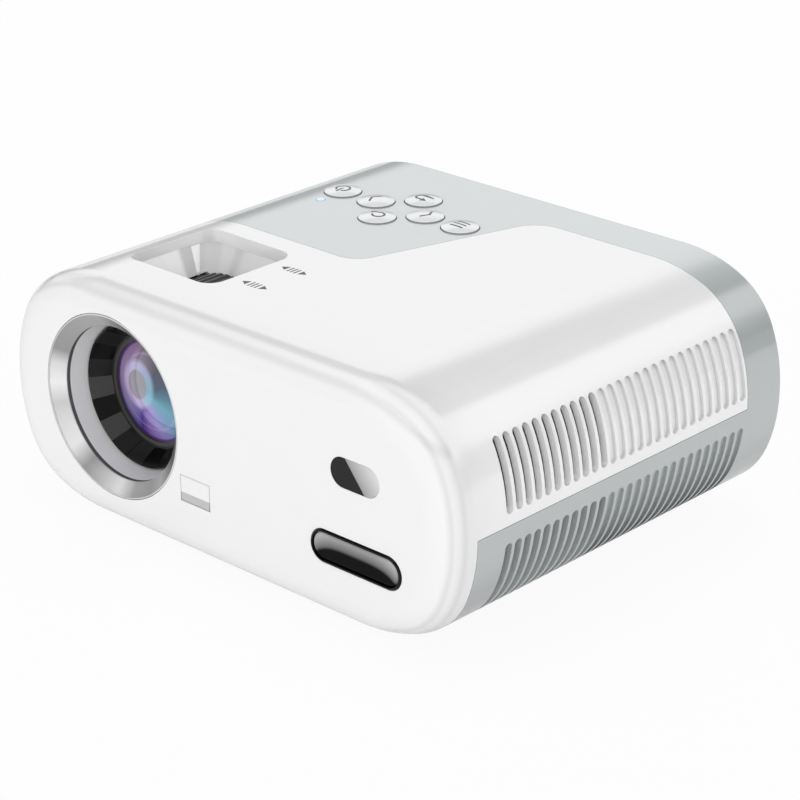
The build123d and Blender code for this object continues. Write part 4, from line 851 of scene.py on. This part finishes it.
def flat_marks(outlines):
    """The outlines as flat triangles with no edge longer than ink_step, so that they can bend."""
    flat = bmesh.new()
    for outline in outlines:
        corners = [flat.verts.new((*p, 0)) for p in outline]
        for triangle in tessellate_polygon([[c.co for c in corners]]):
            flat.faces.new([corners[i] for i in triangle])
    while long_edges := [e for e in flat.edges if e.calc_length() > ink_step]:
        bmesh.ops.subdivide_edges(flat, edges=long_edges, cuts=1)
        bmesh.ops.triangulate(flat, faces=[f for f in flat.faces if len(f.verts) > 3])
    return flat


def add_piece(name, form, material, body):
    """Turns a finished bmesh into a piece that rides on a body."""
    bmesh.ops.recalc_face_normals(form, faces=form.faces)
    mesh = bpy.data.meshes.new(name)
    form.to_mesh(mesh)
    form.free()
    mesh.materials.append(material)
    piece = bpy.data.objects.new(name, mesh)
    bpy.context.scene.collection.objects.link(piece)
    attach(piece, body)


def print_marks(name, outlines, surface, place, body, ink):
    """Lays flat outlines on a surface as thin closed shapes. place turns (u, v) into a point in
    space and gives the direction in which the ray looks for the surface."""
    flat = flat_marks(outlines)
    form = bmesh.new()
    tops, bottoms = {}, {}
    for spot in flat.verts:
        start, look = place(spot.co.x, spot.co.y)
        hit = surface.ray_cast(start, look)[0]
        top = hit - look * ink_lift
        top.z = min(top.z, cad_box[1].z)
        tops[spot] = form.verts.new(top)
        bottoms[spot] = form.verts.new(hit + look * ink_sink)
    for face in flat.faces:
        form.faces.new([tops[v] for v in face.verts])
        form.faces.new([bottoms[v] for v in reversed(face.verts)])
    for edge in flat.edges:
        if edge.is_boundary:
            a, b = edge.verts
            form.faces.new((tops[a], bottoms[a], bottoms[b], tops[b]))
    flat.free()
    add_piece(name, form, ink, body)


def looking_down(x, y):
    """Marks drawn in millimetres round a spot on top of the case."""
    return lambda u, v: (Vector((x + u * mm, y + v * mm, cad_box[1].z + cast_height)),
                         Vector((0, 0, -1)))


def looking_back(x, z):
    """Marks drawn in millimetres round a spot on the front of the case."""
    return lambda u, v: (Vector((x + u * mm, cad_box[0].y - cast_height, z + v * mm)),
                         Vector((0, 1, 0)))


print("printing tools ready, for a film", round((ink_lift + ink_sink) / mm, 2), "mm thick")

# %% [markdown]
# Each button carries a common symbol: power, a chevron each way, a U-turn for going back, a loop
# and three bars for the menu. They are drawn in millimetres round the button's centre, and they
# ride on their button, so that a press takes them along.

# %% Print the buttons
button_ink = finish("button_ink", (0.12, 0.125, 0.13), 0.45, spread=0.08, bump=0.1, grain=3000)
line_width = 0.75
head_reach, head_spread = 0.6, 0.75    # times an arrow head's size


def arrow_head(middle, direction, size):
    middle, along = Vector(middle), Vector(direction).normalized()
    reach, spread = along * size * head_reach, Vector((-along.y, along.x)) * size * head_spread
    return [middle + reach, middle - reach + spread, middle - reach - spread]


def line(*points, width=line_width):
    return stroke(points, width)


button_marks = {
    "power_button": [line(*arc((0, 0.1), 2.4, -60, 240)), line((0, -3.1), (0, 0.1))],
    "left_button": [line((-0.3, 2.9), (-1.9, 0), (-0.3, -2.9))],
    "right_button": [line((0.3, 2.9), (1.9, 0), (0.3, -2.9))],
    "rear_button": [
        line((3.0, 1.7), (-1.2, 1.7), *arc((-1.2, 0), 1.7, 90, 270), (1.0, -1.7)),
        arrow_head((1.6, -1.7), (1, 0), 1.7),
    ],
    "front_button": [
        line((-3.4, 1.6), (-0.6, 1.9), *arc((0.4, 0.2), 2.1, 120, -150)),
        arrow_head((-3.6, 1.5), (-1, -0.1), 1.6),
    ],
    "menu_button": [line((-2.4, 2.0 * k), (2.4, 2.0 * k)) for k in (-1, 0, 1)],
}
for name, marks in button_marks.items():
    low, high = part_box(name)
    middle = (low + high) / 2
    print_marks(name + "_symbol", marks, surface_of(name), looking_down(middle.x, middle.y),
                name, button_ink)
print("symbols on", len(button_marks), "buttons")

# %% [markdown]
# Beside the finger well two double arrows say which way each ring turns: a triangle at each end
# and three bars between them. They are made with the same tools, in millimetres round their spots.

# %% Print the arrows
cover_ink = finish("cover_ink", (0.12, 0.12, 0.125), 0.5, spread=0.1, bump=0.1, grain=3000)
cover_surface = surface_of("cover")
bar_spacing = 1.5
bar_half = 1.6
bar_width = 0.55
tip_reach = 5.5


def double_arrow():
    marks = [line((bar_spacing * k, -bar_half), (bar_spacing * k, bar_half), width=bar_width)
             for k in (-1, 0, 1)]
    for side in (-1, 1):
        base = side * bar_spacing * 2
        marks.append([(side * tip_reach, 0), (base, bar_half), (base, -bar_half)])
    return marks


ring_arrow_spots = {"keystone_arrow": (-16.7, -26.4), "focus_arrow": (-16.7, -43.9)}
for name, (x, y) in ring_arrow_spots.items():
    print_marks(name, double_arrow(), cover_surface, looking_down(x * mm, y * mm), "case",
                cover_ink)
print("arrows at", ring_arrow_spots)

# %% [markdown]
# On the front, lower than the lens port and beside it, is a small plate in thin outline with a
# filled foot, in a paler ink. It looks inwards along +Y for its surface, and is otherwise printed
# like the rest.

# %% Print the plate
pale_ink = finish("pale_ink", (0.55, 0.55, 0.56), 0.5, spread=0.05, bump=0.1, grain=3000)
plate_x, plate_z = -15.4 * mm, 23.4 * mm   # its lower left corner
wide, tall, foot = 13.2, 8.8, 3.0
outline_width = 0.3


def plate_outline():
    corners = [(0, 0), (wide, 0), (wide, tall), (0, tall)]
    bottom, left = (corners[0], corners[1]), (corners[0], corners[3])
    top, right_side = (corners[3], corners[2]), (corners[1], corners[2])
    edges = [line(*ends, width=outline_width) for ends in (bottom, top, left, right_side)]
    return edges + [[(0, 0), (wide, 0), (wide, foot), (0, foot)]]


print_marks("front_outline", plate_outline(), cover_surface, looking_back(plate_x, plate_z),
            "case", pale_ink)
print("plate", wide, "by", tall, "mm")

# %% [markdown]
# In its rear left corner the finger well catches the light in a slim bright wedge that tapers
# downwards. A slim rib in a whiter plastic than the funnel stands in for it, as a painted highlight.
# It could be cut into the funnel, but it is only about 3 mm wide. So we cast a row of rays into the
# corner at each height, and let the rib stand a little proud of where they hit.

# %% Add the rib in the well
rib_top_z, rib_foot_z = 80.7 * mm, 73.0 * mm
rib_top_half, rib_foot_half = 1.6 * mm, 0.5 * mm
rib_proud = 0.6 * mm
rib_crown = 1.1                        # times rib_proud along its middle, falling to the sides
rib_sink = 0.25 * mm
rib_rows, rib_columns = 8, 6
rib_highlight_white = finish("rib_white_plastic", (0.97, 0.97, 0.97), 0.3, spread=0.006, bump=0.02)
into_corner = Vector((-0.80, 0.60, 0))
along_wall = Vector((0.60, 0.80, 0))


def corner_rib():
    funnel = surface_of("well_funnel")
    form = bmesh.new()
    front, rear = [], []
    for row in range(rib_rows + 1):
        share = row / rib_rows
        half = rib_foot_half + (rib_top_half - rib_foot_half) * share
        height = Vector((0, 0, rib_foot_z + (rib_top_z - rib_foot_z) * share))
        front.append([])
        rear.append([])
        for column in range(rib_columns + 1):
            side = 2 * column / rib_columns - 1
            hit = funnel.ray_cast(well_middle + height + along_wall * half * side, into_corner)[0]
            share_out = rib_crown - side * side
            front[-1].append(form.verts.new(hit - into_corner * rib_proud * share_out))
            rear[-1].append(form.verts.new(hit + into_corner * rib_sink))
    loops = [f + r[::-1] for f, r in zip(front, rear)]
    for low, high in zip(loops, loops[1:]):
        for i in range(len(low)):
            j = (i + 1) % len(low)
            form.faces.new((low[i], low[j], high[j], high[i]))
    form.faces.new(loops[0][::-1])
    form.faces.new(loops[-1])
    add_piece("well_corner_rib", form, rib_highlight_white, "case")


corner_rib()

# %% [markdown]
# The window and the badge are polished, and a studio light leaves a hard-edged sheen on each: a
# slanting one on the window and a curved one along the upper half of the badge. Both are too dark
# a plastic to show this from the reflection alone, so their colour carries it as a painted
# reflection that changes across that edge.

# %% Finish the window and the badge
# Places on the front are X and Z.
window_edge = (Vector((57.54, 59.98)) * mm, Vector((65.11, 50.65)) * mm)
badge_middle = Vector((61.3, 28.5)) * mm
badge_rise = 0.6 * mm                  # of the sheen's edge over the badge's middle
badge_reach, badge_drop = 18 * mm, 4.5 * mm
badge_power = 4                        # flat in the middle and bent down near the ends


def sheen(material, edge_of, near, reach, far, soft):
    """Paints a reflection that lightens a dark finish where edge_of gives a distance above zero,
    from near to far.
    """
    tree = material.node_tree
    x, _, z = places(tree)
    distance = edge_of(tree, x, z)
    share = mapped(tree, distance, -soft, soft)
    fade = ramp(tree, mapped(tree, distance, 0, reach), [(0, grey(near)), (1, grey(far))])
    paint(material, mixed(tree, share, color_of(material), fade))


def beside_window_edge(tree, x, z):
    start, end = window_edge
    run = (end - start).normalized()
    along = math_node(tree, "MULTIPLY", math_node(tree, "SUBTRACT", x, start.x), -run.y)
    rise = math_node(tree, "MULTIPLY", math_node(tree, "SUBTRACT", z, start.y), run.x)
    return math_node(tree, "ADD", along, rise)


def above_badge_curve(tree, x, z):
    aside = math_node(tree, "DIVIDE", math_node(tree, "SUBTRACT", x, badge_middle.x), badge_reach)
    drop = math_node(tree, "MULTIPLY", math_node(tree, "POWER", aside, badge_power), badge_drop)
    level = math_node(tree, "SUBTRACT", z, badge_middle.y + badge_rise)
    return math_node(tree, "ADD", level, drop)


sheen(smoked, beside_window_edge, near=0.34, reach=9 * mm, far=0.74, soft=0.1 * mm)
badge_black = finish("badge_black", (0.003, 0.003, 0.003), 0.1, spread=0.2, bump=0.0,
                     Specular_IOR_Level=0.06)
sheen(badge_black, above_badge_curve, near=0.11, reach=5 * mm, far=0.48, soft=0.5 * mm)
dress(badge_black, "name_plate")
print("nodes without a finish:", sorted(set(nodes) - dressed))
